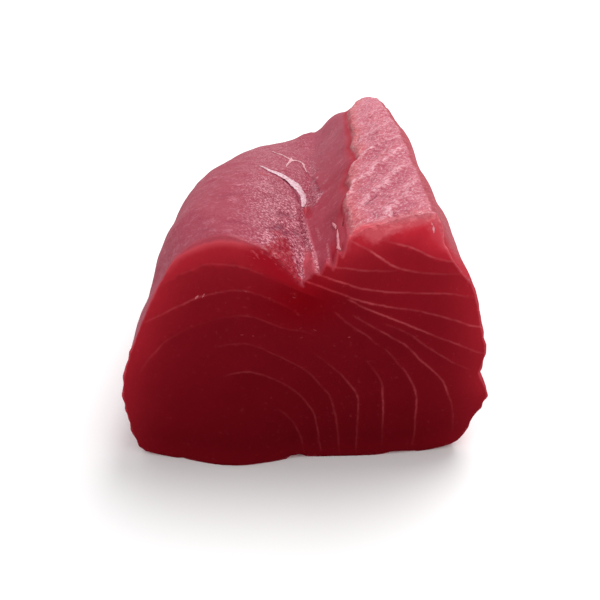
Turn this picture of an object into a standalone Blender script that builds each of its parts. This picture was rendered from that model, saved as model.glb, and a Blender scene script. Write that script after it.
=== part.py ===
"""A block of raw tuna loin, cut across at both ends, lying on its flat underside.

The block is one solid. It runs along +Y, from the near cut face to the far one, +Z is up and the
origin is the middle of its underside's box. Its form is a closed outline that changes from the near
end to the far end: a broad rounded lobe on the left, a notch with three torn steps, and a flat-topped
crest on the right. The surface is one grid, rolled round the outline and drawn together at the middle
of each cut face. Sizes below are in millimetres, and a pair of them is where a change starts and ends.
"""

import math

import bmesh
import bpy
from mathutils import Matrix, Vector, noise

MM = 0.001

# The block
CREST_LENGTH = 168.0  # from the near cut face to the far one, along the crest
FAR_CUT_SLANT = 0.2  # how much sooner the far cut comes, for each millimetre left of the crest
FAR_CUT_HINGE_X = 40.0  # where the crest length is measured
TAPER_POWER = 1.7  # over 1, so the block keeps its section for half its length and then tapers
SOLE_Z = (0.0, 3.0)  # the skin has no relief below this
RELIEF_Y = (4.0, 20.0)  # the skin's relief starts a little behind the near cut

# The cut faces
CROWN_MIDDLE = Vector((0.0, 42.0))  # of both cut faces, in x and z
CROWN_REACH = Vector((62.0, 52.0))
NEAR_CROWN = 2.0  # how far the near cut face stands out at its middle
FAR_CROWN = 4.0
SLUMP = 6.0  # how far the flesh has slumped forward at the foot of the near face
SLUMP_X = -21.5
SLUMP_LEFT, SLUMP_RIGHT = 22.0, 12.0  # how far it reaches to each side
SLUMP_HEIGHT = 24.0
HEEL_SETBACK = 3.0  # how far the near face's right foot is drawn back
HEEL_X, HEEL_Z = (20.0, 60.0), (5.0, 50.0)
LOW_RIM_RADIUS = 0.9  # of the near cut face's edge, near the sole
TOP_RIM_RADIUS = 2.6  # higher up, where the flesh is free to relax
RIM_CHANGE_Z = (40.0, 72.0)
FAR_RIM_RADIUS = 5.0

# Where the skin swells behind the near cut: how far, the x and z of the middle, and the reach
SWELLS = {
    "lobe": (3.6, Vector((-43.0, 76.0)), 19.0),
    "crest_side": (1.5, Vector((46.0, 88.0)), 9.0),
}
SWELL_ONSET_Y, SWELL_FADE_Y = (2.0, 20.0), (70.0, 150.0)

# The flakes that cross the crest, and the crest's torn left edge
FLAKE_PITCH = 24.0
FLAKE_STEP = 1.3
FLAKE_SLANT = 1.5  # how far along the block a flake's edge runs for each millimetre across it
CREST_X, CREST_Z = (10.0, 18.0), (60.0, 80.0)
EDGE_X = 15.0  # of the torn edge, at the near cut face
EDGE_RUN = 0.075  # how far right it moves for each millimetre along the block
EDGE_REACH = 8.0
EDGE_Z = (66.0, 80.0)
EDGE_SCALLOP = 1.2  # how far it stands out between the flakes
EDGE_NARROWING = 2.2  # how far it steps right past the near flakes
EDGE_NARROWING_Y = (20.0, 60.0)
TORN_GAP = 3.4  # how much further right it is where a flake is missing
TORN_GAP_Y, TORN_GAP_REACH = 76.0, 15.0

# The notch, the valley behind it, and the torn steps of the valley's right wall
VALLEY_WANDER = 2.8  # how far the notch and the steps stray to either side
VALLEY_WANDER_SIZE = 26.0
VALLEY_X, VALLEY_REACH = 5.0, 14.0
VALLEY_ONSET_Y, VALLEY_Z = (4.0, 30.0), (56.0, 66.0)
STEP_FADE_Y = (18.0, 75.0)  # where the torn steps sink into the wall

LUMP_HEIGHT = 1.6  # of the low lumps all over the skin
LUMP_SIZE = 30.0
LUMP_Z = (4.0, 16.0)

# Landmarks of the outline, clockwise from the left end of the sole as seen from the near end. Each has
# its softness, 0 for a corner and 1 for a smooth bend, the number of facets from it to the next one,
# then x and z at the near cut face, and x and z at the far one.
LANDMARKS = {
    "sole_left": (0.5, 2, (-48.5, 0.0), (-45.0, 0.0)),
    "skirt_tip": (0.3, 3, (-59.0, 2.8), (-52.0, 4.0)),
    "flank_low": (0.9, 3, (-61.6, 18.5), (-57.0, 17.0)),
    "flank_widest": (1.0, 3, (-61.2, 32.0), (-57.0, 28.0)),
    "flank_middle": (1.0, 4, (-55.4, 49.0), (-54.0, 39.0)),
    "flank_high": (1.0, 3, (-45.6, 70.8), (-47.0, 52.0)),
    "lobe_shoulder": (1.0, 3, (-37.0, 82.0), (-37.5, 58.0)),
    "lobe_top": (1.0, 4, (-24.5, 87.0), (-23.0, 63.4)),
    "lobe_right": (1.0, 5, (-10.5, 82.0), (-6.0, 66.4)),
    "notch": (0.1, 2, (-0.4, 71.7), (8.0, 70.8)),
    "first_tread": (0.4, 1, (3.7, 74.4), (11.0, 72.8)),
    "first_step": (0.4, 2, (4.4, 75.0), (11.8, 73.4)),
    "second_tread": (0.4, 1, (7.5, 77.4), (14.2, 76.2)),
    "second_step": (0.4, 2, (8.2, 78.0), (15.0, 76.8)),
    "third_tread": (0.4, 1, (10.7, 81.4), (18.0, 79.8)),
    "third_step": (0.4, 2, (11.2, 82.2), (18.6, 80.6)),
    "crest_left": (0.5, 3, (13.6, 86.6), (23.5, 86.2)),
    "crest_middle": (1.0, 4, (26.5, 92.0), (31.0, 90.4)),
    "crest_right": (0.4, 3, (39.6, 93.6), (38.6, 88.8)),
    "side_high": (1.0, 3, (44.2, 81.4), (44.6, 78.0)),
    "side_shoulder": (0.5, 3, (54.0, 69.2), (49.5, 65.0)),
    "side_middle": (0.9, 3, (58.0, 54.0), (53.5, 51.0)),
    "side_bulge": (0.7, 3, (60.6, 43.5), (56.0, 41.0)),
    "side_dent": (0.2, 3, (59.2, 35.8), (55.5, 33.0)),
    "side_low": (0.8, 3, (63.6, 27.0), (56.5, 26.0)),
    "heel_high": (0.8, 4, (62.7, 19.5), (55.0, 16.0)),
    "heel_tip": (0.2, 2, (56.6, 3.0), (49.5, 4.0)),
    "sole_right": (0.5, 10, (45.0, 0.0), (41.5, 0.0)),
}
# How far the torn steps stand out of the valley's wall, or are sunk in it, near the cut face
STEP_LIFTS = {
    "first_tread": 0.8,
    "first_step": -0.8,
    "second_tread": 1.0,
    "second_step": -0.9,
    "third_tread": 0.7,
    "third_step": -0.8,
}
MIDDLE_NEAR = Vector((10.0, 38.0))  # where the near face's rings close, in x and z
MIDDLE_FAR = Vector((8.0, 36.0))
STATIONS = 34  # along the block
NEAR_RINGS = 8  # across the near cut face
FAR_RINGS = 5
MERGE_DISTANCE = 0.01


def smoothstep(span, value):
    """0 before the span, 1 past it, and a smooth rise in between."""
    share = min(1.0, max(0.0, (value - span[0]) / (span[1] - span[0])))
    return share * share * (3.0 - 2.0 * share)


def bump(value, middle, reach):
    """1 at the middle, falling smoothly to nothing past the reach on both sides."""
    return math.exp(-(((value - middle) / reach) ** 2))


def hermite(start, end, leaving, arriving, share):
    """A point of the curve from start to end with those tangents."""
    s2, s3 = share * share, share * share * share
    return (
        (2 * s3 - 3 * s2 + 1) * start
        + (s3 - 2 * s2 + share) * leaving
        + (3 * s2 - 2 * s3) * end
        + (s3 - s2) * arriving
    )


def step_lifts():
    """How far each of the outline's points stands out of the valley's wall."""
    names = list(LANDMARKS)
    lifts = []
    for i, name in enumerate(names):
        here, ahead = STEP_LIFTS.get(name, 0.0), STEP_LIFTS.get(names[(i + 1) % len(names)], 0.0)
        facets = LANDMARKS[name][1]
        lifts += [here + (ahead - here) * k / facets for k in range(facets)]
    return lifts


def outline(face):
    """The outline's points, closed, at the near (2) or far (3) cut face."""
    rows = list(LANDMARKS.values())
    spots = [Vector(row[face]) for row in rows]
    count = len(rows)
    tangents = []
    for i, row in enumerate(rows):
        before, after = spots[i - 1], spots[(i + 1) % count]
        tangents.append((after - before) * 0.5 * row[0])
    points = []
    for i, row in enumerate(rows):
        j = (i + 1) % count
        for k in range(row[1]):
            points.append(hermite(spots[i], spots[j], tangents[i], tangents[j], k / row[1]))
    return points


NEAR_OUTLINE = outline(2)
FAR_OUTLINE = outline(3)
LIFTS = step_lifts()
AROUND = len(NEAR_OUTLINE)


def edge_shift(y):
    """How far right the crest's torn edge lies of its straight run."""
    narrowing = EDGE_NARROWING * smoothstep(EDGE_NARROWING_Y, y)
    gap = TORN_GAP * bump(y, TORN_GAP_Y, TORN_GAP_REACH)
    scallop = EDGE_SCALLOP * math.sin(2.0 * math.pi * y / FLAKE_PITCH) * smoothstep(RELIEF_Y, y)
    return narrowing + gap - scallop


def section_point(index, along):
    """A point of the outline, x and z, at a share of the block's length."""
    near, far = NEAR_OUTLINE[index % AROUND], FAR_OUTLINE[index % AROUND]
    point = near.lerp(far, along**TAPER_POWER)
    y = along * CREST_LENGTH
    on_edge = bump(point.x, EDGE_X + EDGE_RUN * y, EDGE_REACH) * smoothstep(EDGE_Z, point.y)
    point.x += edge_shift(y) * on_edge
    wander = VALLEY_WANDER * noise.noise(Vector((y / VALLEY_WANDER_SIZE, 0.0, 0.0)))
    wander *= smoothstep(VALLEY_ONSET_Y, y) * smoothstep(VALLEY_Z, point.y)
    point.x += wander * bump(point.x, VALLEY_X, VALLEY_REACH)
    return point


def outward(index, along):
    """The outline's outward normal, x and z."""
    run = section_point(index + 1, along) - section_point(index - 1, along)
    return Vector((-run.y, run.x)).normalized()


def crown(x, z):
    """1 at the middle of a cut face, falling to about nothing at its rim."""
    away = Vector((x, z)) - CROWN_MIDDLE
    return 1.0 - (away.x / CROWN_REACH.x) ** 2 - (away.y / CROWN_REACH.y) ** 2


def near_cut(x, z):
    """y of the near cut face."""
    reach = SLUMP_LEFT if x < SLUMP_X else SLUMP_RIGHT
    slump = SLUMP * bump(x, SLUMP_X, reach) * bump(z, 0.0, SLUMP_HEIGHT)
    setback = HEEL_SETBACK * smoothstep(HEEL_X, x) * (1.0 - smoothstep(HEEL_Z, z))
    return setback - slump - NEAR_CROWN * crown(x, z)


def far_cut(x, z):
    """y of the far cut face."""
    return CREST_LENGTH - (FAR_CUT_HINGE_X - x) * FAR_CUT_SLANT + FAR_CROWN * crown(x, z)


def near_rim_radius(z):
    """The radius of the near cut face's rounded edge."""
    return LOW_RIM_RADIUS + (TOP_RIM_RADIUS - LOW_RIM_RADIUS) * smoothstep(RIM_CHANGE_Z, z)


def rounding(gap, radius):
    """How far a rim of that radius draws in the skin, at that distance from its cut face."""
    short = max(0.0, radius - gap)
    return radius - math.sqrt(radius * radius - short * short)


def relief(x, y, z, step_lift, normal):
    """How far the skin stands out from the plain loft."""
    swell = 0.0
    for lift, spot, reach in SWELLS.values():
        swell += lift * bump((Vector((x, z)) - spot).length, 0.0, reach)
    swell *= smoothstep(SWELL_ONSET_Y, y) * (1.0 - smoothstep(SWELL_FADE_Y, y))
    torn = step_lift * (1.0 - smoothstep(STEP_FADE_Y, y))
    on_crest = smoothstep(CREST_X, x) * smoothstep(CREST_Z, z) * max(0.0, normal.y)
    share = ((y - FLAKE_SLANT * (x - EDGE_X)) / FLAKE_PITCH) % 1.0
    flake = FLAKE_STEP * (share - 0.5) * on_crest
    lump = LUMP_HEIGHT * noise.noise(Vector((x, y, z)) / LUMP_SIZE) * smoothstep(LUMP_Z, z)
    return swell + torn + (flake + lump) * smoothstep(RELIEF_Y, y)


def skin_point(index, along):
    """A point of the skin between the two rims, with the rims rounded over."""
    flat = section_point(index, along)
    start, end = near_cut(flat.x, flat.y), far_cut(flat.x, flat.y)
    y = start + (end - start) * along
    normal = outward(index, along)
    lift = relief(flat.x, y, flat.y, LIFTS[index % AROUND], normal)
    inward = (MIDDLE_NEAR.lerp(MIDDLE_FAR, along) - flat).normalized()
    inset = rounding(y - start, near_rim_radius(flat.y)) + rounding(end - y, FAR_RIM_RADIUS)
    flat = flat + (normal * lift + inward * inset) * smoothstep(SOLE_Z, flat.y)
    return Vector((flat.x, y, max(0.0, flat.y)))


def near_face_point(index, outness):
    """A point of the near cut face, at a share of the way from its middle to its rim."""
    rim = skin_point(index, 0.0)
    flat = MIDDLE_NEAR.lerp(Vector((rim.x, rim.z)), outness)
    return Vector((flat.x, near_cut(flat.x, flat.y), flat.y))


def far_face_point(index, outness):
    """A point of the far cut face, at a share of the way from its middle to its rim."""
    rim = skin_point(index, 1.0)
    flat = MIDDLE_FAR.lerp(Vector((rim.x, rim.z)), outness)
    return Vector((flat.x, far_cut(flat.x, flat.y), flat.y))


def station_shares():
    """The stations' shares of the length, closer together at the rounded rims."""
    near, far = TOP_RIM_RADIUS / CREST_LENGTH, FAR_RIM_RADIUS / CREST_LENGTH
    shares = [0.0, 0.3 * near]
    for k in range(STATIONS):
        shares.append(near + (1.0 - near - far) * k / (STATIONS - 1))
    return [*shares, 1.0 - 0.45 * far, 1.0 - 0.12 * far, 1.0]


def rows_of_points():
    """The grid's rows of points, from the middle of the near face to the middle of the far one."""
    columns = range(AROUND + 1)
    rows = [[near_face_point(i, ring / NEAR_RINGS) for i in columns] for ring in range(NEAR_RINGS)]
    rows += [[skin_point(i, share) for i in columns] for share in station_shares()]
    rows += [[far_face_point(i, ring / FAR_RINGS) for i in columns] for ring in reversed(range(FAR_RINGS))]
    return rows


def loin_mesh():
    """The closed surface: a grid rolled into a tube, its two ends drawn together."""
    rows = rows_of_points()
    across = len(rows) - 1
    bm = bmesh.new()
    bmesh.ops.create_grid(bm, x_segments=AROUND, y_segments=across, size=0.5)
    for vert in bm.verts:
        column = round((vert.co.x + 0.5) * AROUND)
        row = round((vert.co.y + 0.5) * across)
        vert.co = rows[row][column] * MM
    bmesh.ops.remove_doubles(bm, verts=bm.verts, dist=MERGE_DISTANCE * MM)
    if bm.calc_volume(signed=True) < 0.0:
        bmesh.ops.reverse_faces(bm, faces=bm.faces)
    bmesh.ops.triangulate(bm, faces=bm.faces)
    mesh = bpy.data.meshes.new("loin")
    bm.to_mesh(mesh)
    bm.free()
    return mesh


def centre_on_sole(mesh):
    """Puts the origin at the middle of the box, on its underside."""
    xs, ys, zs = zip(*(vert.co for vert in mesh.vertices))
    middle = Vector(((min(xs) + max(xs)) / 2, (min(ys) + max(ys)) / 2, min(zs)))
    mesh.transform(Matrix.Translation(-middle))


def flesh_material():
    """Deep red raw tuna, moist."""
    material = bpy.data.materials.new("raw_tuna")
    material.use_nodes = True
    shader = material.node_tree.nodes["Principled BSDF"]
    shader.inputs["Base Color"].default_value = (0.22, 0.012, 0.022, 1.0)
    shader.inputs["Roughness"].default_value = 0.38
    shader.inputs["Metallic"].default_value = 0.0
    return material


def main():
    """Clears the scene and adds the loin."""
    for obj in list(bpy.data.objects):
        bpy.data.objects.remove(obj)
    mesh = loin_mesh()
    centre_on_sole(mesh)
    mesh.shade_smooth()
    mesh.set_sharp_from_angle(angle=math.radians(40.0))
    mesh.materials.append(flesh_material())
    loin = bpy.data.objects.new("loin", mesh)
    bpy.context.scene.collection.objects.link(loin)


main()
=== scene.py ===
"""The looks of a block of raw tuna loin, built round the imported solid.

The block keeps the solid's form. Its surface is drawn again with fine quads, then torn, flaked and
grained, and every point of it is told how far it lies from the cut's rim and from each septum. One
flesh material reads those distances. The white membranes and the torn fibres near the notch are
pieces of their own, laid on the flesh. Lengths are in millimetres up to the last step of each mesh.
"""

import logging
import math
from collections.abc import Iterable, Sequence
from dataclasses import dataclass, field
from enum import Enum

import bmesh
import bpy
import numpy as np
from mathutils import Matrix, Vector, noise
from mathutils.bvhtree import BVHTree
from mathutils.kdtree import KDTree


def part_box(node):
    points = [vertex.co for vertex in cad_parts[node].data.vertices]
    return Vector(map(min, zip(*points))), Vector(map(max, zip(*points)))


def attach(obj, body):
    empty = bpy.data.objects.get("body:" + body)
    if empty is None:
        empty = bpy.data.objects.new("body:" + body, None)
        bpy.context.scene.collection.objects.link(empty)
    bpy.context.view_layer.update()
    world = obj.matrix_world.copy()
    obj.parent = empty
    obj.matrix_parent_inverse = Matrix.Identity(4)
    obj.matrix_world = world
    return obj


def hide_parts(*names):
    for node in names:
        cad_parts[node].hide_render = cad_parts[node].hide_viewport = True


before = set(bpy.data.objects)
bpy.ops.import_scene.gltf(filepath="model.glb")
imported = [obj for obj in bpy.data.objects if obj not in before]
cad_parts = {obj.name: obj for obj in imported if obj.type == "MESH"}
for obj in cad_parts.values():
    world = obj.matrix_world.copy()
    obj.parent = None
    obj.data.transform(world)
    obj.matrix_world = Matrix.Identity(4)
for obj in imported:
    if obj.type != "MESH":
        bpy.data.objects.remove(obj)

MM = 0.001
BODY = "root"
NODE = "loin"
FIXED_NORMALS = "custom_normal"

CELLS_IN_REACH = 4.0  # of the grid that fitted() sums on
TOP_HEIGHT = 64.0  # streaks show only over this z
UPWARD = (0.2, 0.5)  # the z of the normal over which the flesh counts as facing up
CREST_FOOT = (76.0, 82.0)  # the z over which the crest's skin begins
CREST_TOP = (78.0, 84.0)  # the z over which its top does
CREST_LEFT = (12.0, 15.0)  # the x over which it does at the near cut
LEAST_WEIGHT = 1e-6  # keeps a plane's equations solvable where nothing counts
OUTSIDE = 200.0  # well clear of the block

Colour = tuple[float, float, float]
Point = tuple[float, float]
Span = tuple[float, float]  # where a change starts and where it ends


def smoothstep(low: float, high: float, value: np.ndarray | float) -> np.ndarray:
    """Rises smoothly from 0 at low to 1 at high, or falls where low is the larger.

    Args:
        low: Where the change starts.
        high: Where it ends.
        value: What is measured against them.

    Returns:
        The share of the change, from 0 to 1.
    """
    share = np.clip((np.asarray(value, float) - low) / (high - low), 0.0, 1.0)
    return share * share * (3.0 - 2.0 * share)


def bell(value: np.ndarray | float, middle: float, reach: float) -> np.ndarray:
    """A smooth hump: 1 at the middle, about nothing past twice the reach."""
    return np.exp(-(((np.asarray(value, float) - middle) / reach) ** 2))


def wavering(points: np.ndarray, size: float, seed: float = 0.0) -> np.ndarray:
    """Smooth noise at each point.

    Args:
        points: Points in millimetres, one a row.
        size: The width of the noise's lumps.
        seed: Moves the noise, so that two calls differ.

    Returns:
        A number for each point, mostly from -1 to 1.
    """
    shift = Vector((seed, 0.37 * seed, 0.71 * seed))
    return np.array([noise.noise(Vector(point) / size + shift) for point in points]) * 2.0


def smooth_curve(points: Sequence[Sequence[float]], spacing: float) -> np.ndarray:
    """A Catmull-Rom curve through the points.

    Args:
        points: What the curve passes through, with any number of values each.
        spacing: The distance aimed at between the curve's own points, over the first two values.

    Returns:
        The curve's points, one a row.
    """
    knots = np.array(points, float)
    knots = np.vstack([2.0 * knots[0] - knots[1], knots, 2.0 * knots[-1] - knots[-2]])
    curve = []
    for before, start, end, after in zip(knots, knots[1:], knots[2:], knots[3:]):
        steps = max(2, math.ceil(np.linalg.norm((end - start)[:2]) / spacing))
        for step in range(steps):
            t = step / steps
            slope = (end - before) * t
            bend = (2.0 * before - 5.0 * start + 4.0 * end - after) * t**2
            twist = (3.0 * start - before - 3.0 * end + after) * t**3
            curve.append(0.5 * (2.0 * start + slope + bend + twist))
    return np.vstack([curve, knots[-2]])


def beside(line: np.ndarray, spots: np.ndarray) -> tuple[np.ndarray, np.ndarray]:
    """Measures points against a line.

    Args:
        line: The line's own points, with two coordinates each.
        spots: What is measured, with the same two coordinates.

    Returns:
        How far left of the line each point lies, under 0 on its right, and the index of the line's nearest
        point.
    """
    nearest = np.full(len(spots), np.inf)
    index = np.zeros(len(spots), int)
    for i, (first, second) in enumerate(line):
        gap = np.hypot(spots[:, 0] - first, spots[:, 1] - second)
        closer = gap < nearest
        nearest[closer] = gap[closer]
        index[closer] = i
    ahead = np.gradient(line, axis=0)[index]
    away = spots - line[index]
    sign = np.where(ahead[:, 0] * away[:, 1] - ahead[:, 1] * away[:, 0] < 0.0, -1.0, 1.0)
    return nearest * sign, index


def fitted(places: np.ndarray, heights: np.ndarray, weights: np.ndarray, reach: Point) -> np.ndarray:
    """Smooths heights by fitting a plane round each point, so that a slope stays a slope.

    Args:
        places: Two coordinates of each point.
        heights: The height of each.
        weights: How much each counts in the fits.
        reach: How far a fit reaches along each coordinate.

    Returns:
        The height of each point on its own plane.
    """
    steps = [(column - column.min()) / size * CELLS_IN_REACH for column, size in zip(places.T, reach)]
    cells = [np.floor(step).astype(int) for step in steps]
    parts = [step - cell for step, cell in zip(steps, cells)]
    counts = [cell.max() + 2 for cell in cells]
    blurs = [bell(np.subtract.outer(np.arange(n), np.arange(n)), 0.0, CELLS_IN_REACH) for n in counts]
    first, second = (places - places.mean(0)).T
    ones = np.ones(len(places))
    slopes = (ones, first, second, first**2, first * second, second**2)
    moments = []
    for values in (*slopes, heights, first * heights, second * heights):
        grid = np.zeros(counts)
        np.add.at(grid, (cells[0], cells[1]), weights * values)
        grid = blurs[0] @ grid @ blurs[1]
        here = np.zeros(len(places))
        for i, j in ((0, 0), (0, 1), (1, 0), (1, 1)):
            share = (parts[0] if i else 1.0 - parts[0]) * (parts[1] if j else 1.0 - parts[1])
            here += share * grid[cells[0] + i, cells[1] + j]
        moments.append(here)
    one, a, b, aa, ab, bb, h, ah, bh = moments
    matrix = np.stack([one, a, b, a, aa, ab, b, ab, bb], 1).reshape(-1, 3, 3) + LEAST_WEIGHT * np.eye(3)
    plane = np.linalg.solve(matrix, np.stack([h, ah, bh], 1)[:, :, None])[:, :, 0]
    return plane[:, 0] + plane[:, 1] * first + plane[:, 2] * second


class Wire:
    """A number in a material: it wraps an output socket, and arithmetic on it adds Math nodes."""

    def __init__(self, graph: "Graph", socket: bpy.types.NodeSocket) -> None:
        """Keeps the graph that new nodes go into, and the socket."""
        self.graph = graph
        self.socket = socket

    def _maths(self, operation: str, *values: "Wire | float") -> "Wire":
        """Adds one Math node, with these values on its sockets in order."""
        node = self.graph.node("ShaderNodeMath", {"operation": operation}, dict(enumerate(values)))
        return Wire(self.graph, node.outputs[0])

    def __add__(self, other: "Wire | float") -> "Wire":
        """The sum."""
        return self._maths("ADD", self, other)

    __radd__ = __add__

    def __sub__(self, other: "Wire | float") -> "Wire":
        """The difference."""
        return self._maths("SUBTRACT", self, other)

    def __rsub__(self, other: float) -> "Wire":
        """The difference, the other way round."""
        return self._maths("SUBTRACT", other, self)

    def __mul__(self, other: "Wire | float") -> "Wire":
        """The product."""
        return self._maths("MULTIPLY", self, other)

    __rmul__ = __mul__

    def __pow__(self, power: float) -> "Wire":
        """This, raised to a power."""
        return self._maths("POWER", self, power)

    def __abs__(self) -> "Wire":
        """How far it is from nothing."""
        return self._maths("ABSOLUTE", self)

    def at_least(self, other: "Wire | float") -> "Wire":
        """The larger of the two."""
        return self._maths("MAXIMUM", self, other)

    def at_most(self, other: "Wire | float") -> "Wire":
        """The smaller of the two."""
        return self._maths("MINIMUM", self, other)

    def clamped(self) -> "Wire":
        """This, held from 0 to 1."""
        return self.at_least(0.0).at_most(1.0)

    def rise(self, low: float, high: float) -> "Wire":
        """Rises smoothly from 0 at low to 1 at high.

        Args:
            low: Where the rise starts.
            high: Where it ends. Under low, the rise is a fall.

        Returns:
            The share of the rise.
        """
        settings = {"interpolation_type": "SMOOTHSTEP"}
        turned = high < low
        ends = {"From Min": min(low, high), "From Max": max(low, high)}
        to = {"To Min": 1.0 if turned else 0.0, "To Max": 0.0 if turned else 1.0}
        node = self.graph.node("ShaderNodeMapRange", settings, {"Value": self, **ends, **to})
        return Wire(self.graph, node.outputs["Result"])


class Tint:
    """A colour in a material: it wraps an output socket."""

    def __init__(self, graph: "Graph", socket: bpy.types.NodeSocket) -> None:
        """Keeps the graph that new nodes go into, and the socket."""
        self.graph = graph
        self.socket = socket

    def towards(self, other: "Tint | Colour", share: "Wire | float") -> "Tint":
        """This colour, mixed with another.

        Args:
            other: The other colour.
            share: How much of the other, from 0 to 1.

        Returns:
            The mixed colour.
        """
        return self.graph.mix(self, other, share)

    def times(self, factor: "Wire | float") -> "Tint":
        """This colour, darker or brighter by a factor."""
        sockets = {"Vector": self, "Scale": factor}
        node = self.graph.node("ShaderNodeVectorMath", {"operation": "SCALE"}, sockets)
        return Tint(self.graph, node.outputs["Vector"])

    def filtered(self, clear: Colour) -> "Tint":
        """This colour seen through a clear coloured layer."""
        node = self.graph.node("ShaderNodeVectorMath", {"operation": "MULTIPLY"}, {0: self, 1: clear})
        return Tint(self.graph, node.outputs["Vector"])


class Graph:
    """A material's nodes."""

    def __init__(self, name: str) -> None:
        """Starts a material of that name with one Principled shader."""
        self.material = bpy.data.materials.new(name)
        self.material.use_nodes = True
        self.tree = self.material.node_tree
        self.shader = self.tree.nodes["Principled BSDF"]

    def node(
        self,
        kind: str,
        settings: dict[str, object] | None = None,
        sockets: dict[object, object] | None = None,
    ) -> bpy.types.Node:
        """Adds a node.

        Args:
            kind: The node's type.
            settings: Its properties, set first.
            sockets: The values or links of its input sockets, by name or number.

        Returns:
            The node.
        """
        node = self.tree.nodes.new(kind)
        for name, value in (settings or {}).items():
            setattr(node, name, value)
        for name, value in (sockets or {}).items():
            self.connect(value, node.inputs[name])
        return node

    def connect(self, value: object, socket: bpy.types.NodeSocket) -> None:
        """Links a wire or a tint to an input socket, or sets a plain value on it."""
        if isinstance(value, (Wire, Tint)):
            self.tree.links.new(value.socket, socket)
        elif isinstance(value, tuple) and len(value) == 3 and socket.type == "RGBA":
            socket.default_value = (*value, 1.0)
        else:
            socket.default_value = value

    def attribute(self, name: str) -> Wire:
        """A number kept on the mesh's points."""
        node = self.node("ShaderNodeAttribute", {"attribute_name": name})
        return Wire(self, node.outputs["Fac"])

    def attributes(self, name: str) -> tuple[Wire, Wire, Wire]:
        """Three numbers kept together on the mesh's points."""
        node = self.node("ShaderNodeAttribute", {"attribute_name": name})
        split = self.node("ShaderNodeSeparateXYZ", None, {"Vector": Tint(self, node.outputs["Vector"])})
        return tuple(Wire(self, output) for output in split.outputs)

    def place(self, stretch: Colour = (1.0, 1.0, 1.0), turn: Colour = (0.0, 0.0, 0.0)) -> Tint:
        """The point's place in the object, in millimetres.

        Args:
            stretch: Multiplies each axis after the turn, so that a pattern is finer along it.
            turn: Angles in radians that the place is turned by first.

        Returns:
            The place, as a vector.
        """
        start = self.node("ShaderNodeTexCoord")
        turned = self.node(
            "ShaderNodeMapping",
            {"vector_type": "POINT"},
            {"Vector": Tint(self, start.outputs["Object"]), "Rotation": turn},
        )
        scale = tuple(factor / MM for factor in stretch)
        sized = self.node(
            "ShaderNodeVectorMath",
            {"operation": "MULTIPLY"},
            {0: Tint(self, turned.outputs["Vector"]), 1: scale},
        )
        return Tint(self, sized.outputs["Vector"])

    def cloud(self, place: Tint, size: float, detail: float = 2.0, roughness: float = 0.5) -> Wire:
        """Noise from 0 to 1.

        Args:
            place: Where it is read, in millimetres.
            size: The width of its lumps, in millimetres.
            detail: How many finer layers it has.
            roughness: How strong the finer layers are.

        Returns:
            The noise.
        """
        sockets = {"Vector": place, "Scale": 1.0 / size, "Detail": detail, "Roughness": roughness}
        node = self.node("ShaderNodeTexNoise", None, sockets)
        return Wire(self, node.outputs["Fac"])

    def cells(self, place: Tint, size: float) -> Wire:
        """The distance to the middle of the nearest grain, in grains.

        Args:
            place: Where it is read, in millimetres.
            size: The grains' width, in millimetres.

        Returns:
            The distance.
        """
        node = self.node("ShaderNodeTexVoronoi", {"feature": "F1"}, {"Vector": place, "Scale": 1.0 / size})
        return Wire(self, node.outputs["Distance"])

    def mix(self, first: Tint | Colour, second: Tint | Colour, share: Wire | float) -> Tint:
        """A mix of two colours.

        Args:
            first: The colour at share 0.
            second: The colour at share 1.
            share: How much of the second.

        Returns:
            The mixed colour.
        """
        node = self.node("ShaderNodeMix", {"data_type": "RGBA"})
        self.connect(share, node.inputs["Factor"])
        colour_inputs = [socket for socket in node.inputs if socket.type == "RGBA"]
        self.connect(first, colour_inputs[0])
        self.connect(second, colour_inputs[1])
        output = next(socket for socket in node.outputs if socket.type == "RGBA")
        return Tint(self, output)

    def bump(self, height: Wire, distance: float) -> Tint:
        """A bumpy normal.

        Args:
            height: The height, from 0 to 1.
            distance: What a height of 1 stands for, in millimetres.

        Returns:
            The normal.
        """
        sockets = {"Height": height, "Distance": distance * MM, "Strength": 1.0}
        node = self.node("ShaderNodeBump", None, sockets)
        return Tint(self, node.outputs["Normal"])

    def finish(self, **sockets: object) -> bpy.types.Material:
        """Sets the shader's sockets.

        Args:
            **sockets: Values or links by the socket's name, with _ for a space.

        Returns:
            The finished material.
        """
        for name, value in sockets.items():
            self.connect(value, self.shader.inputs[name.replace("_", " ")])
        return self.material


class Layer(Enum):
    """Which set a septum's distances are kept in, as an attribute. Septa of one set keep well apart."""

    FIRST = "septa_first"
    SECOND = "septa_second"
    THIRD = "septa_third"
    FOURTH = "septa_fourth"


SEPTUM_SPACING = 0.5  # between the points of a septum's own curve
SEPTUM_REACH = (2.1, 1.3)  # the distance over which its line stops being kept
SEPTUM_FAR = 4.0  # the distance kept where no septum is near
SEPTUM_STEP_REACH = 5.0  # how far from a septum its step of brightness fades
SEPTUM_LIFT_SPAN = (20.0, 12.0)  # the distance over which its lift fades


@dataclass(frozen=True)
class Septum:
    """A pale sheet between two muscle segments, as the cut faces show it: a thin line.

    Its points are x and z on the near cut face and how plainly it shows there, from 0 to 1. The flesh just
    outside it is brighter by the step, and the flesh just inside it darker. The lift brightens all that lies
    farther out.
    """

    layer: Layer
    points: tuple[tuple[float, float, float], ...]
    step: float = 0.06
    lift: float = 0.0


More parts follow.
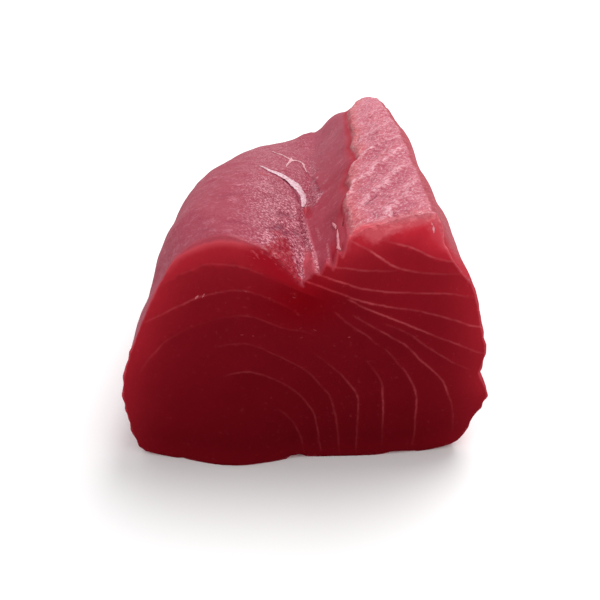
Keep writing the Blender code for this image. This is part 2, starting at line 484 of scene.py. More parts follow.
# The nested arches of the lobe, from the outermost in, which run on down to the sole
# on the right, and the fan that spreads from the notch to the right side
SEPTA = (
    Septum(Layer.SECOND, (
        (-46.5, 69.0, 0.30), (-41.3, 72.2, 0.30), (-33.0, 76.6, 0.40), (-28.3, 77.5, 0.60),
        (-21.0, 77.0, 0.65), (-11.1, 73.2, 0.30), (-0.9, 68.2, 0.20), (6.9, 65.1, 0.10),
    ), 0.13),
    Septum(Layer.THIRD, (
        (-53.0, 55.6, 0.40), (-46.3, 59.4, 0.75), (-40.6, 62.5, 0.78), (-34.0, 65.8, 0.85),
        (-27.6, 67.7, 0.62), (-20.5, 68.6, 0.70), (-12.8, 66.4, 0.35), (-5.9, 62.9, 0.30),
        (-0.9, 59.0, 0.10),
    ), 0.08),
    Septum(Layer.FIRST, (
        (-56.0, 35.5, 0.10), (-53.0, 40.5, 0.35), (-48.5, 46.2, 0.60), (-43.8, 50.9, 0.25),
        (-34.5, 56.2, 0.10), (-24.0, 59.3, 0.15), (-18.0, 59.6, 0.50), (-12.6, 57.4, 0.45),
        (-6.0, 54.9, 0.40), (-1.2, 54.2, 0.40), (3.5, 52.6, 0.10),
    )),
    Septum(Layer.FIRST, (
        (-30.0, 47.6, 0.05), (-24.0, 49.0, 0.40), (-17.6, 48.8, 0.35), (-9.0, 44.6, 0.50), (-0.2, 39.0, 0.45),
        (4.1, 34.0, 0.50), (8.3, 27.5, 0.60), (10.3, 19.5, 0.70), (11.3, 11.8, 0.65), (12.1, 1.5, 0.50),
    )),
    Septum(Layer.SECOND, (
        (-28.0, 36.4, 0.05), (-24.0, 37.6, 0.45), (-19.4, 38.3, 0.70), (-14.1, 37.1, 0.55),
        (-8.5, 34.2, 0.50), (-2.9, 29.5, 0.45), (0.9, 24.3, 0.65), (3.3, 18.4, 0.70), (5.2, 5.7, 0.65),
        (5.6, 1.5, 0.50),
    )),
    Septum(Layer.THIRD, (
        (-10.5, 24.4, 0.05), (-7.4, 21.2, 0.35), (-4.3, 16.9, 0.50), (-1.9, 10.8, 0.55), (-0.6, 4.6, 0.35),
        (-0.3, 1.5, 0.20),
    )),
    Septum(Layer.SECOND, (
        (2.0, 46.3, 0.10), (6.8, 42.0, 0.30), (10.7, 38.1, 0.60), (15.6, 31.8, 0.85), (17.7, 26.5, 0.90),
        (18.0, 17.3, 0.65), (18.1, 9.0, 0.65), (18.2, 1.5, 0.55),
    )),
    Septum(Layer.THIRD, (
        (8.0, 61.6, 0.30), (9.6, 60.6, 0.60), (12.0, 58.2, 0.50), (14.0, 56.3, 0.45), (17.0, 54.0, 0.65),
        (20.0, 51.8, 0.60), (22.2, 49.6, 0.45), (24.4, 47.9, 0.20),
    )),
    Septum(Layer.SECOND, (
        (19.2, 43.5, 0.10), (22.8, 38.6, 0.30), (25.2, 33.8, 0.60), (26.1, 28.2, 1.12), (26.6, 21.0, 0.95),
        (27.0, 12.0, 0.40), (27.2, 3.0, 0.35),
    )),
    Septum(Layer.FIRST, (
        (24.6, 47.9, 0.30), (27.4, 45.2, 0.50), (30.4, 41.2, 0.45), (34.0, 36.4, 0.80),
        (37.3, 28.8, 1.05), (38.2, 19.5, 0.88), (38.6, 10.0, 0.62), (38.2, 2.5, 0.58),
    )),
    Septum(Layer.FOURTH, (
        (14.2, 60.2, 0.50), (21.4, 55.5, 0.75), (27.0, 52.0, 0.85), (32.9, 47.7, 0.85), (38.6, 41.5, 0.95),
        (45.1, 34.5, 1.06), (48.7, 27.4, 1.00), (51.0, 20.6, 0.70), (52.4, 12.5, 0.50), (52.9, 8.0, 0.20),
    )),
    Septum(Layer.THIRD, (
        (24.0, 57.0, 0.20), (32.5, 53.1, 0.55), (38.0, 48.8, 0.70), (44.1, 44.2, 0.72), (50.3, 39.9, 0.55),
        (55.6, 37.2, 0.30),
    )),
    Septum(Layer.FIRST, (
        (-1.0, 71.9, 1.40), (5.2, 69.8, 1.00), (11.5, 67.2, 1.10), (15.9, 65.3, 1.00), (22.3, 63.5, 1.20),
        (28.6, 62.3, 0.85), (35.0, 61.1, 0.75), (42.5, 59.1, 0.88), (48.2, 57.1, 0.92), (53.7, 54.9, 1.05),
        (60.0, 53.4, 0.90),
    )),
    Septum(Layer.SECOND, (
        (12.6, 65.9, 1.00), (18.5, 62.5, 0.90), (24.4, 59.7, 1.20), (30.9, 56.8, 1.10), (36.6, 54.1, 1.05),
        (43.3, 50.9, 0.72), (49.2, 48.4, 0.90), (54.8, 45.6, 0.75), (60.0, 43.5, 0.50),
    )),
    Septum(Layer.THIRD, (
        (2.9, 74.3, 1.15), (9.5, 71.9, 1.25), (15.7, 69.8, 1.00), (23.9, 68.1, 0.98), (33.9, 67.5, 0.85),
        (44.3, 66.9, 0.85), (52.0, 65.3, 0.30), (58.0, 64.0, 0.20),
    )),
    Septum(Layer.SECOND, (
        (6.4, 77.3, 1.25), (11.8, 76.2, 0.90), (17.5, 75.6, 0.90), (23.5, 75.2, 0.50), (29.0, 75.4, 0.10),
    )),
    Septum(Layer.FIRST, (
        (10.4, 86.6, 0.60), (14.6, 84.4, 1.00), (18.3, 82.4, 1.05), (22.3, 79.8, 1.42), (26.5, 77.0, 1.22),
        (30.9, 75.2, 0.90), (37.4, 74.2, 0.66), (43.7, 73.7, 0.45), (52.0, 73.2, 0.30),
    ), 0.08),
    Septum(Layer.SECOND, (
        (22.0, 85.4, 0.50), (25.1, 84.6, 0.90), (29.1, 83.6, 1.12), (34.3, 81.6, 1.20), (38.5, 79.4, 1.15),
        (42.3, 78.3, 0.95), (46.9, 77.4, 0.75), (52.0, 77.0, 0.60), (60.0, 76.6, 0.20),
    ), 0.08, 0.24),
)


@dataclass(frozen=True)
class Trace:
    """A line on the block as it is seen from above: x and y, from the near end to the far end."""

    points: tuple[Point, ...]

    def right_of(self, points: np.ndarray) -> np.ndarray:
        """How far right of the line each point lies. The line goes from the near end to the far end."""
        xs, ys = zip(*self.points)
        return points[:, 0] - np.interp(points[:, 1], ys, xs)


# The fold between the lobe and the valley, with its grainy lip
FOLD = Trace((
    (4.2, -95.0), (3.3, -81.7), (2.7, -74.4), (1.9, -62.9), (1.0, -55.1), (0.0, -43.4), (-0.6, -32.0),
    (-1.3, -21.4),
))
# Where the lobe's grainy skin stops
GRAIN_BORDER = Trace((
    *FOLD.points[:6],
    (-0.4, -33.0), (3.2, -28.0), (5.8, -20.0), (5.9, -9.9), (6.4, 4.3), (5.9, 18.3), (5.4, 33.3), (4.0, 60.0),
    (3.0, 95.0),
))
# The crest's torn left edge, with the noses of its flakes
CREST_EDGE = Trace((
    (12.8, -95.0), (13.1, -82.3), (13.7, -76.7), (13.6, -68.5), (13.0, -60.0), (13.8, -53.1), (16.2, -44.5),
    (15.6, -38.4), (15.3, -27.6), (17.6, -19.5), (21.0, -14.8), (20.0, -8.0), (19.8, 7.1), (20.6, 25.4),
    (20.6, 39.4), (21.4, 59.9), (25.0, 76.0), (28.0, 95.0),
))
# The raised edges of the crest's flakes, from left to right: x, y and how plainly each shows there. The flesh
# dips on their near side.
FLAKE_EDGES = (
    (
        (22.2, -80.0, 0.2), (23.4, -78.5, 0.6), (24.7, -77.3, 1.0), (25.7, -75.7, 1.0), (26.9, -73.2, 1.0),
        (27.9, -70.3, 0.8), (28.6, -67.0, 0.2),
    ),
    (
        (17.6, -66.5, 0.2), (19.2, -64.0, 0.7), (20.5, -60.5, 0.9), (21.7, -57.2, 1.0), (23.0, -56.5, 1.0),
        (24.8, -55.2, 1.1), (26.6, -53.0, 1.1), (28.0, -49.2, 1.0), (29.8, -45.2, 1.0), (31.8, -42.8, 0.9),
        (34.0, -41.4, 0.7), (36.5, -38.0, 0.3),
    ),
    (
        (30.0, -69.0, 0.2), (30.8, -67.4, 0.6), (31.8, -65.8, 0.5), (33.4, -60.7, 0.7), (34.3, -58.7, 0.8),
        (36.2, -57.0, 0.3),
    ),
    (
        (15.0, -55.0, 0.4), (16.0, -49.5, 1.0), (16.9, -45.4, 1.0), (18.3, -42.1, 1.0), (19.7, -40.2, 0.8),
        (21.5, -39.3, 0.6), (23.4, -38.0, 1.0), (24.6, -35.0, 1.0), (26.3, -32.0, 1.0), (28.6, -30.4, 0.8),
        (30.8, -27.2, 0.8), (33.0, -23.9, 0.7), (36.0, -20.3, 0.6), (38.4, -18.5, 0.3),
    ),
    (
        (17.4, -24.0, 0.4), (19.5, -20.5, 0.7), (21.8, -17.2, 0.9), (25.0, -12.5, 1.1), (26.8, -10.5, 1.1),
        (28.6, -9.3, 0.9), (31.0, -8.6, 0.7), (33.8, -7.6, 0.7), (37.0, -5.6, 0.4),
    ),
    (
        (21.5, 3.0, 0.3), (25.2, 7.6, 0.6), (27.6, 9.0, 0.5), (30.2, 10.4, 0.4), (33.8, 14.2, 0.4),
        (37.2, 19.4, 0.3),
    ),
    (
        (22.5, 31.0, 0.2), (26.0, 35.0, 0.4), (30.0, 38.5, 0.3), (35.0, 44.0, 0.2),
    ),
)
# The torn flesh left of the notch lies between these two
TORN_LEFT = Trace((
    (-17.0, -84.5), (-12.2, -81.0), (-10.5, -76.6), (-8.3, -69.7), (-6.4, -66.0), (-4.0, -64.0),
))
TONGUE = Trace((
    (-1.6, -84.5), (-2.0, -82.8), (-2.7, -79.0), (-3.8, -76.5), (-4.1, -71.1), (-5.1, -67.4), (-7.0, -64.0),
))


def crest_edge_waver(points: np.ndarray) -> np.ndarray:
    """How far the crest's left edge strays from its line, at each point."""
    return 0.5 * wavering(points, 6.0, 11.0)


class Shade(Enum):
    """How a streak on the outside looks, and the column of the streaks' attribute that keeps it."""

    PALE = 0
    DARK = 1
    RAW = 2


STREAK_EDGE = (1.3, 0.3)  # in half widths: where a streak's edge ends, and where it is full


@dataclass(frozen=True)
class Streak:
    """A narrow mark on the outside: pale, dark or raw red, and raised or sunk by its relief.

    Its points hold x, y and how plainly it shows there, from 0 to 1.
    """

    shade: Shade
    half_width: float
    relief: float
    points: tuple[tuple[float, float, float], ...]

    def shown(self, spots: np.ndarray) -> np.ndarray:
        """How plainly the streak shows at each point."""
        line = smooth_curve(self.points, 0.5)
        result = np.zeros(len(spots))
        for x, y, share in line:
            away = np.hypot(spots[:, 0] - x, spots[:, 1] - y)
            np.maximum(result, share * smoothstep(*STREAK_EDGE, away / self.half_width), out=result)
        return result


STREAKS = (
    # The lip of the fold, the pale flap at the notch's bottom and the low step up the valley's wall
    Streak(Shade.PALE, 0.7, 0.1, (
        (4.0, -83.6, 0.8), (3.6, -81.6, 0.9), (3.1, -76.5, 0.9), (2.6, -70.0, 0.8), (1.8, -62.9, 0.6),
        (1.0, -55.1, 0.5), (0.2, -44.9, 0.3), (-0.5, -33.0, 0.2),
    )),
    Streak(Shade.PALE, 0.8, 0.1, (
        (-1.4, -83.0, 0.5), (-1.2, -81.5, 0.8), (-1.2, -76.3, 0.8), (-1.2, -71.5, 0.6), (-1.6, -67.0, 0.2),
    )),
    Streak(Shade.PALE, 0.4, 0.1, (
        (7.1, -83.2, 0.6), (7.1, -79.8, 0.3), (6.9, -74.5, 0.4), (6.7, -69.0, 0.2),
    )),
    Streak(Shade.PALE, 0.5, 0.1, ((3.6, -53.0, 0.2), (4.2, -57.0, 0.3), (4.8, -63.0, 0.2))),
    # The lines and flecks of the lobe
    Streak(Shade.PALE, 0.9, 0.1, (
        (-24.4, -34.5, 0.1), (-23.4, -33.4, 0.5), (-20.2, -29.2, 0.4), (-16.4, -23.2, 0.4),
        (-14.0, -22.2, 0.3), (-12.4, -25.2, 0.1),
    )),
    Streak(Shade.PALE, 1.0, 0.1, (
        (-38.4, -17.7, 0.1), (-34.3, -18.6, 0.3), (-30.2, -20.6, 0.2), (-26.6, -18.9, 0.2),
        (-21.1, -16.5, 0.1),
    )),
    # A painted highlight near the rim left of the notch, raised a little
    Streak(Shade.PALE, 1.4, 0.1, (
        (-12.7, -72.5, 0.2), (-12.4, -75.0, 0.7), (-11.9, -78.0, 0.7), (-11.5, -80.2, 0.4),
    )),
    Streak(Shade.PALE, 0.7, 0.1, ((-29.2, -73.2, 0.4), (-28.4, -72.4, 0.4))),
    Streak(Shade.PALE, 0.8, 0.1, ((-25.5, -54.0, 0.3), (-25.0, -52.2, 0.4), (-24.4, -51.2, 0.2))),
    Streak(Shade.PALE, 0.7, 0.1, ((-22.2, -38.6, 0.3), (-21.4, -37.2, 0.4))),
    Streak(Shade.PALE, 0.9, 0.3, ((4.6, -25.4, 0.4), (5.0, -23.6, 1.0), (5.2, -21.8, 0.5))),
    Streak(Shade.PALE, 0.6, 0.2, ((5.0, 1.6, 0.5), (5.4, 3.6, 0.6))),
    Streak(Shade.PALE, 0.6, 0.2, ((37.3, -84.0, 0.9), (38.0, -82.6, 0.9), (38.2, -80.6, 0.3))),
    Streak(Shade.DARK, 1.3, -0.1, (
        (-29.0, -51.0, 0.1), (-27.4, -48.6, 0.3), (-25.0, -46.2, 0.4), (-22.4, -43.8, 0.2),
    )),
    Streak(Shade.DARK, 0.8, -0.1, ((-33.2, -76.2, 0.1), (-31.0, -76.8, 0.4), (-28.2, -77.7, 0.3))),
    Streak(Shade.DARK, 1.2, -0.1, ((-25.6, -73.6, 0.1), (-22.1, -72.5, 0.3), (-17.6, -70.7, 0.2))),
    # The dark and red mottling over the torn flesh, and the torn patch at the white strip's tip
    Streak(Shade.DARK, 1.2, -0.2, (
        (-11.4, -67.4, 0.5), (-9.6, -63.2, 0.7), (-8.2, -60.0, 0.8), (-7.6, -57.6, 0.4),
    )),
    Streak(Shade.DARK, 1.0, -0.2, ((-7.4, -64.2, 0.5), (-6.6, -62.1, 0.8), (-5.4, -58.6, 0.4))),
    Streak(Shade.DARK, 0.8, -0.2, ((-4.9, -56.0, 0.5), (-4.1, -55.2, 0.8), (-3.2, -57.4, 0.6))),
    Streak(Shade.DARK, 1.2, -0.2, (
        (-10.0, -51.0, 0.4), (-8.4, -47.6, 0.7), (-6.3, -44.6, 0.7), (-5.4, -43.0, 0.3),
    )),
    Streak(Shade.RAW, 1.6, -0.1, ((-10.4, -69.0, 0.4), (-8.8, -66.0, 0.5), (-7.6, -63.6, 0.3))),
    Streak(Shade.RAW, 1.4, -0.1, ((-17.6, -9.6, 0.4), (-16.2, -11.2, 0.6), (-14.6, -11.4, 0.4))),
    # The slit under the white strip, sunk and painted dark as the strip's shadow, and the red where the fold
    # begins
    Streak(Shade.DARK, 0.6, -0.35, (
        (-8.6, -8.3, 0.3), (-7.2, -9.0, 0.8), (-5.4, -11.1, 1.0), (-3.8, -13.9, 1.0), (-2.7, -17.0, 1.0),
        (-2.0, -20.6, 0.8), (-1.8, -23.5, 0.3),
    )),
    Streak(Shade.RAW, 1.5, -0.2, (
        (0.8, -24.2, 0.8), (0.7, -28.0, 1.0), (0.9, -33.0, 0.5), (1.8, -41.0, 0.3),
    )),
    # The crease that runs on from the thread, sunk and painted dark as shade
    Streak(Shade.DARK, 0.6, -0.3, (
        (-2.2, 20.0, 0.3), (-0.6, 16.0, 0.6), (0.8, 11.8, 0.6), (3.0, 6.3, 0.5), (4.4, -4.0, 0.5),
        (4.9, -11.0, 0.6), (5.6, -17.4, 0.4),
    )),
    # The short groove among the crest's flakes, sunk and painted dark as shade, and the deep corners of the
    # crest's left edge
    Streak(Shade.DARK, 0.5, -0.35, (
        (18.9, -65.0, 0.3), (19.5, -64.2, 0.9), (21.3, -61.8, 0.9), (22.8, -59.2, 0.7),
    )),
    Streak(Shade.RAW, 1.0, -0.4, (
        (20.6, 22.0, 0.2), (20.4, 30.0, 0.8), (20.3, 38.0, 0.9), (20.6, 48.0, 0.6), (21.6, 60.0, 0.2),
    )),
    Streak(Shade.RAW, 0.9, -0.3, ((15.4, -33.5, 0.3), (15.0, -28.5, 0.8), (16.0, -24.0, 0.5))),
    Streak(Shade.RAW, 1.3, 0.0, ((8.3, -85.0, 1.0), (8.6, -80.0, 1.0), (8.5, -75.5, 0.8), (8.4, -71.0, 0.2))),
    Streak(Shade.RAW, 1.2, 0.0, ((10.6, -85.0, 1.0), (10.8, -82.0, 0.9), (10.8, -79.5, 0.3))),
)


# How a muscle sheet drifts on its way from the near cut face to the far one
SHEET_DELAY = 1.7  # over 1, it drifts later than evenly
SHEET_SPREAD = 0.09
SHEET_RISE = 0.04
LOBE_SHEET_SHIFT = 5.0
LOBE_SHEET_RISE = 0.28
LOBE_TO_CREST = (-20.0, 30.0)  # the x over which the lobe's drift gives way to the crest's

FACE_DEPTH = 34.0  # how far from an end a cut face's own points can lie
LEAST_GAP = 1e-6
FACE_MIDDLE = (8.0, 38.0)  # x and z of a spot well inside both cut faces
RIM_STRIDE = 3  # every third spot of the rim sheds light
SIDE_LIGHT = 0.45  # of the light that the top rim sheds
SOLE_SHADE_SPAN = (1.0, 9.0)  # the z over which the floor's shade ends


@dataclass
class Surface:
    """The block's fine surface: points, normals and edges as arrays, in millimetres."""

    points: np.ndarray
    normals: np.ndarray
    edges: np.ndarray

    @classmethod
    def of(cls, mesh: bpy.types.Mesh) -> "Surface":
        """Reads a mesh.

        Args:
            mesh: The mesh, in metres.

        Returns:
            Its surface.
        """
        points = np.empty(len(mesh.vertices) * 3, np.float32)
        mesh.vertices.foreach_get("co", points)
        normals = np.empty(len(mesh.vertices) * 3, np.float32)
        mesh.vertex_normals.foreach_get("vector", normals)
        edges = np.empty(len(mesh.edges) * 2, np.int32)
        mesh.edges.foreach_get("vertices", edges)
        points = points.reshape(-1, 3).astype(float) / MM
        return cls(points, normals.reshape(-1, 3).astype(float), edges.reshape(-1, 2))

    def section(self) -> np.ndarray:
        """Where each point would lie on the near cut face, if it slid there along its muscle sheet.

        Returns:
            x and z on the near cut face, one point a row.
        """
        low, high = self.points[:, 1].min(), self.points[:, 1].max()
        share = np.clip((self.points[:, 1] - low) / (high - low), 0.0, 1.0) ** SHEET_DELAY
        x, z = self.points[:, 0], self.points[:, 2]
        lobe = 1.0 - smoothstep(*LOBE_TO_CREST, x)
        across = x * (1.0 + SHEET_SPREAD * share) - LOBE_SHEET_SHIFT * share * lobe
        return np.stack([across, z * (1.0 + share * (SHEET_RISE + LOBE_SHEET_RISE * lobe))], 1)

    def rim(self, near: bool, steepness: float) -> tuple[np.ndarray, np.ndarray, np.ndarray]:
        """Finds the rim of a cut face.

        Args:
            near: Whether it is the near cut face.
            steepness: The y of the normal that counts as the rim.

        Returns:
            Whether each point of the surface is inside the rim, the rim's points, and the normals there.
        """
        facing = -self.normals[:, 1] if near else self.normals[:, 1]
        end = self.points[:, 1].min() if near else self.points[:, 1].max()
        inside = (facing > steepness) & (np.abs(self.points[:, 1] - end) < FACE_DEPTH)
        first, second = self.edges.T
        crossing = self.edges[inside[first] != inside[second]]
        gap = facing[crossing[:, 1]] - facing[crossing[:, 0]]
        gap = np.where(np.abs(gap) < LEAST_GAP, 1.0, gap)
        share = np.clip((steepness - facing[crossing[:, 0]]) / gap, 0.0, 1.0)[:, None]
        spots = self.points[crossing[:, 0]] * (1.0 - share) + self.points[crossing[:, 1]] * share
        normals = self.normals[crossing[:, 0]] * (1.0 - share) + self.normals[crossing[:, 1]] * share
        return inside, spots, normals

    def rim_distance(self, near: bool, steepness: float) -> np.ndarray:
        """How far each point lies from the rim of a cut face.

        Args:
            near: Whether it is the near cut face.
            steepness: The y of the normal that counts as the rim.

        Returns:
            The distance, over 0 on the cut face and under 0 on the skin.
        """
        inside, spots, _ = self.rim(near, steepness)
        tree = KDTree(len(spots))
        for index, spot in enumerate(spots):
            tree.insert(spot, index)
        tree.balance()
        distance = np.array([tree.find(point)[2] for point in self.points])
        return np.where(inside, distance, -distance)

    def glow(self, near: bool, steepness: float, reaches: tuple[float, ...]) -> np.ndarray:
        """How much light reaches each point of a cut face through the flesh, from its upper and side rims.

        Args:
            near: Whether it is the near cut face.
            steepness: The y of the normal that counts as the rim.
            reaches: How far the light gets before it fades to about a third, one for each column of the
                result.

        Returns:
            The light, about 1 at the top rim, one column for each reach.
        """
        _, spots, normals = self.rim(near, steepness)
        order = np.argsort(np.arctan2(spots[:, 2] - FACE_MIDDLE[1], spots[:, 0] - FACE_MIDDLE[0]))
        spots, normals = spots[order], normals[order]
        lengths = np.linalg.norm(np.roll(spots, -1, 0) - spots, axis=1)
        keep = np.arange(0, len(spots), RIM_STRIDE)
        lengths = np.add.reduceat(lengths, keep)
        spots, normals = spots[keep], normals[keep]
        result = np.zeros((len(self.points), len(reaches)))
        for spot, length, share in zip(spots, lengths, self._shed(spots, normals)):
            away = np.linalg.norm(self.points - spot, axis=1)
            for column, reach in enumerate(reaches):
                result[:, column] += share * length * np.exp(-away / reach) / (2.0 * reach)
        return result

    @staticmethod
    def _shed(spots: np.ndarray, normals: np.ndarray) -> np.ndarray:
        """How much light the rim sheds at each of its spots: most at the top, least in the notch."""
        x, _, z = spots.T
        upward = np.clip(normals[:, 2] / np.maximum(np.hypot(normals[:, 0], normals[:, 2]), 1e-3), -1.0, 1.0)
        light = (SIDE_LIGHT + (1.0 - SIDE_LIGHT) * upward) * smoothstep(*SOLE_SHADE_SPAN, z)
        in_notch = bell(x, 0.5, 11.0)
        on_left = smoothstep(-30.0, -50.0, x)
        on_crest_corner = smoothstep(36.0, 44.0, x) * smoothstep(64.0, 72.0, z)
        light *= 1.0 - 0.93 * in_notch
        light *= 1.0 - 0.12 * on_left
        light *= 1.0 - 0.40 * on_crest_corner
        return np.clip(light, 0.0, 1.0)


class Bearings:
    """How each point of the block lies: where it is, and how it lies to the cuts and to the crest's edge."""

    def __init__(self, surface: Surface, steepness: float) -> None:
        """Measures the surface's points.

        Args:
            surface: The points and normals.
            steepness: The y of the normal that counts as a cut face's rim.
        """
        self.points = surface.points
        self.normals = surface.normals
        self.x, self.y, self.z = surface.points.T
        self.near = self.y < 0.0
        rims = surface.rim_distance(True, steepness), surface.rim_distance(False, steepness)
        self.cut = np.where(self.near, *rims)
        self.skin = smoothstep(2.0, -1.0, self.cut)
        self.up = smoothstep(*UPWARD, surface.normals[:, 2])
        self.edge = CREST_EDGE.right_of(surface.points)
        self.ragged = crest_edge_waver(surface.points)
        self.crest = smoothstep(-1.4, 0.2, self.edge + self.ragged) * smoothstep(*CREST_FOOT, self.z)


@dataclass
class Block:
    """The block of flesh: the solid's form, with the tears, flakes and grain of real tuna."""

    weld: float = 0.01
    levels: int = 2
    flat_angle: float = 60.0
    sharp_angle: float = 38.0
    crease: float = 0.65
    rim_steepness: float = 0.72
    light_reaches: tuple[float, float] = (4.5, 17.0)
    lip_height: float = 0.28
    trough_depth: float = 0.4
    grain_height: float = 0.12
    wall_reach: Point = (3.0, 5.0)
    crest_axis: Point = (30.0, 80.0)
    crest_reach: Point = (9.0, 9.0)
    flank_x: float = 37.9
    # The part that gets finer faces: from and to in x, how far back, and from what height
    fine_span: Span = (-12.0, 41.0)
    fine_back: float = 34.0
    fine_height: float = 69.0
    far_crest_drop: float = 1.9
    surface: Surface | None = field(default=None, init=False)

    def build(self) -> bpy.types.Object:
        """Makes the block's object.

        Returns:
            The object, riding on its body and standing for the solid.
        """
        mesh = self._fine_mesh()
        self.surface = Surface.of(mesh)
        marks = self._marks()
        marks["streaks"], relief = self._streaks()
        self._tear(mesh, marks, relief)
        self._write(mesh, marks)
        obj = bpy.data.objects.new("flesh_block", mesh)
        bpy.context.scene.collection.objects.link(obj)
        mesh.shade_smooth()
        mesh.materials.clear()
        mesh.materials.append(Flesh().material())
        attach(obj, BODY)
        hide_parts(NODE)
        return obj

    def _fine_mesh(self) -> bpy.types.Mesh:
        """Draws the solid's surface again in smooth fine quads, finest on the torn top."""
        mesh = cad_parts[NODE].data.copy()
        mesh.name = "flesh_block"
        if FIXED_NORMALS in mesh.attributes:
            mesh.attributes.remove(mesh.attributes[FIXED_NORMALS])
        bm = bmesh.new()
        bm.from_mesh(mesh)
        bmesh.ops.remove_doubles(bm, verts=bm.verts, dist=self.weld * MM)
        flat = math.radians(self.flat_angle)
        bmesh.ops.join_triangles(bm, faces=bm.faces, angle_face_threshold=flat, angle_shape_threshold=math.pi)
        layer = bm.edges.layers.float.new("crease_edge")
        for edge in bm.edges:
            if edge.calc_face_angle(0.0) > math.radians(self.sharp_angle):
                edge[layer] = self.crease
        bm.to_mesh(mesh)
        bm.free()
        helper = bpy.data.objects.new("helper", mesh)
        bpy.context.scene.collection.objects.link(helper)
        smoother = helper.modifiers.new("fine", "SUBSURF")
        smoother.levels = smoother.render_levels = self.levels
        bpy.context.view_layer.update()
        fine = bpy.data.meshes.new_from_object(helper.evaluated_get(bpy.context.evaluated_depsgraph_get()))
        bpy.data.objects.remove(helper)
        fine.name = "flesh_block"
        self._refine_top(fine)
        return fine

    def _refine_top(self, mesh: bpy.types.Mesh) -> None:
        """Splits the faces of the notch, the valley and the crest once more."""
        bm = bmesh.new()
        bm.from_mesh(mesh)
        left, right = self.fine_span
        faces = []
        for face in bm.faces:
            x, y, z = face.calc_center_median() / MM
            on_top = left < x < right and y < self.fine_back and z > self.fine_height
            if on_top and face.normal.y > -0.8:
                faces.append(face)
        edges = {edge for face in faces for edge in face.edges}
        bmesh.ops.subdivide_edges(bm, edges=list(edges), cuts=1, use_grid_fill=True, smooth=0.0)
        bm.to_mesh(mesh)
        bm.free()

    def _streaks(self) -> tuple[np.ndarray, np.ndarray]:
        """The narrow marks on the outside.

        Returns:
            How plainly the streaks of each shade show, one column a shade. Then how far they raise the
            flesh.
        """
        points = self.surface.points
        shown = np.zeros((len(points), len(Shade)))
        relief = np.zeros(len(points))
        top = points[:, 2] > TOP_HEIGHT
        for streak in STREAKS:
            here = streak.shown(points[top])
            column = streak.shade.value
            shown[top, column] = np.maximum(shown[top, column], here)
            relief[top] += streak.relief * here
        return shown, relief

    def _flake_edges(self) -> tuple[np.ndarray, np.ndarray, np.ndarray]:
        """Finds the crest's flakes: their lips, the trough before each and the line of painted shadow under
        each lip.

        Returns:
            How far each point lies on a lip, in a trough and in a lip's painted shadow, each from 0 to about
            1.
        """
        points = self.surface.points
        count = len(points)
        lips, troughs, lip_shadows = np.zeros(count), np.zeros(count), np.zeros(count)
        near = (points[:, 0] > 10.0) & (points[:, 0] < 44.0) & (points[:, 2] > 76.0)
        spots = points[near]
        waver = 0.5 * wavering(spots, 4.0, 4.0)
        for route in FLAKE_EDGES:
            line = smooth_curve(route, 0.6)
            off, index = beside(line[:, :2], spots[:, :2])
            off = off + waver
            shown = line[index, 2]
            lip = shown * bell(off, 0.7, 1.1)
            trough = shown * smoothstep(0.1, -1.3, off) * smoothstep(-9.0, -3.0, off)
            lips[near] = np.maximum(lips[near], lip)
            troughs[near] = np.maximum(troughs[near], trough)
            lip_shadows[near] = np.maximum(lip_shadows[near], shown * bell(off, -0.5, 0.5))
        return lips, troughs, lip_shadows

    def _marks(self) -> dict[str, np.ndarray]:
        """What the flesh material needs to know at each point.

        Returns:
            Named arrays, of one or three numbers for each point.
        """
        at = Bearings(self.surface, self.rim_steepness)
        wall = self._wall(at)
        tread = self._tread(at)
        grain = self._grain(at.points) * at.up * (1.0 - wall) * (1.0 - at.crest) * (1.0 - 0.6 * tread)
        layers, tone = self._septa()
        lips, troughs, lip_shadows = self._flake_edges()
        edge_shade = smoothstep(5.5, 1.0, at.edge + at.ragged)
        far = smoothstep(-20.0, 40.0, at.y)
        side_red = smoothstep(-30.0, -9.0, at.cut) * smoothstep(90.0, 79.0, at.z - 0.12 * (at.cut + 10.0))
        crest_rim = smoothstep(-6.0, -1.5, at.cut) * at.near
        notch_side = bell(at.edge + at.ragged, -1.3, 1.5)
        return {
            "cut": at.cut + self._bleed(at) * at.near * smoothstep(-12.0, -2.0, at.cut),
            "glow": self._glow(at),
            "tone": tone,
            **layers,
            "zones": np.stack([at.crest, wall, grain], 1),
            "marks": np.stack([self._torn(at), tread, self._side(at)], 1),
            "flakes": np.stack([lips, troughs, edge_shade], 1),
            "bands": np.stack([self._blush(at), far, self._clear(at)], 1),
            "details": np.stack([lip_shadows, side_red, crest_rim], 1),
            "hollow": 0.95 * bell(at.x, -1.0, 13.0) * bell(at.z, 65.0, 9.5) * at.near,
            # Painted shade: deep red on the valley's wall beside the crest's edge, where it lies in shade
            "cleft": 0.75 * notch_side * wall * smoothstep(-68.0, -58.0, at.y),
        }

    def _glow(self, at: Bearings) -> np.ndarray:
        """The light in the flesh, of short and of long reach, and the height as a share: three columns."""
        near = self.surface.glow(True, self.rim_steepness, self.light_reaches)
        far = self.surface.glow(False, self.rim_steepness, self.light_reaches)
        light = np.where(at.near[:, None], near, far)
        by_crest = smoothstep(10.0, 2.0, at.cut) * smoothstep(52.0, 42.0, at.x)
        light[:, 0] += 0.40 * self._crest_front(at) * by_crest
        light[:, 1] += 0.30 * smoothstep(12.0, 26.0, at.x) * smoothstep(48.0, 72.0, at.z) * at.near
        return np.stack([light[:, 0], light[:, 1], np.clip(at.z / 75.0, 0.0, 1.0)], 1)

    @staticmethod
    def _crest_front(at: Bearings) -> np.ndarray:
        """Where the crest is, in the near half."""
        return smoothstep(*CREST_LEFT, at.x) * smoothstep(*CREST_TOP, at.z) * at.near

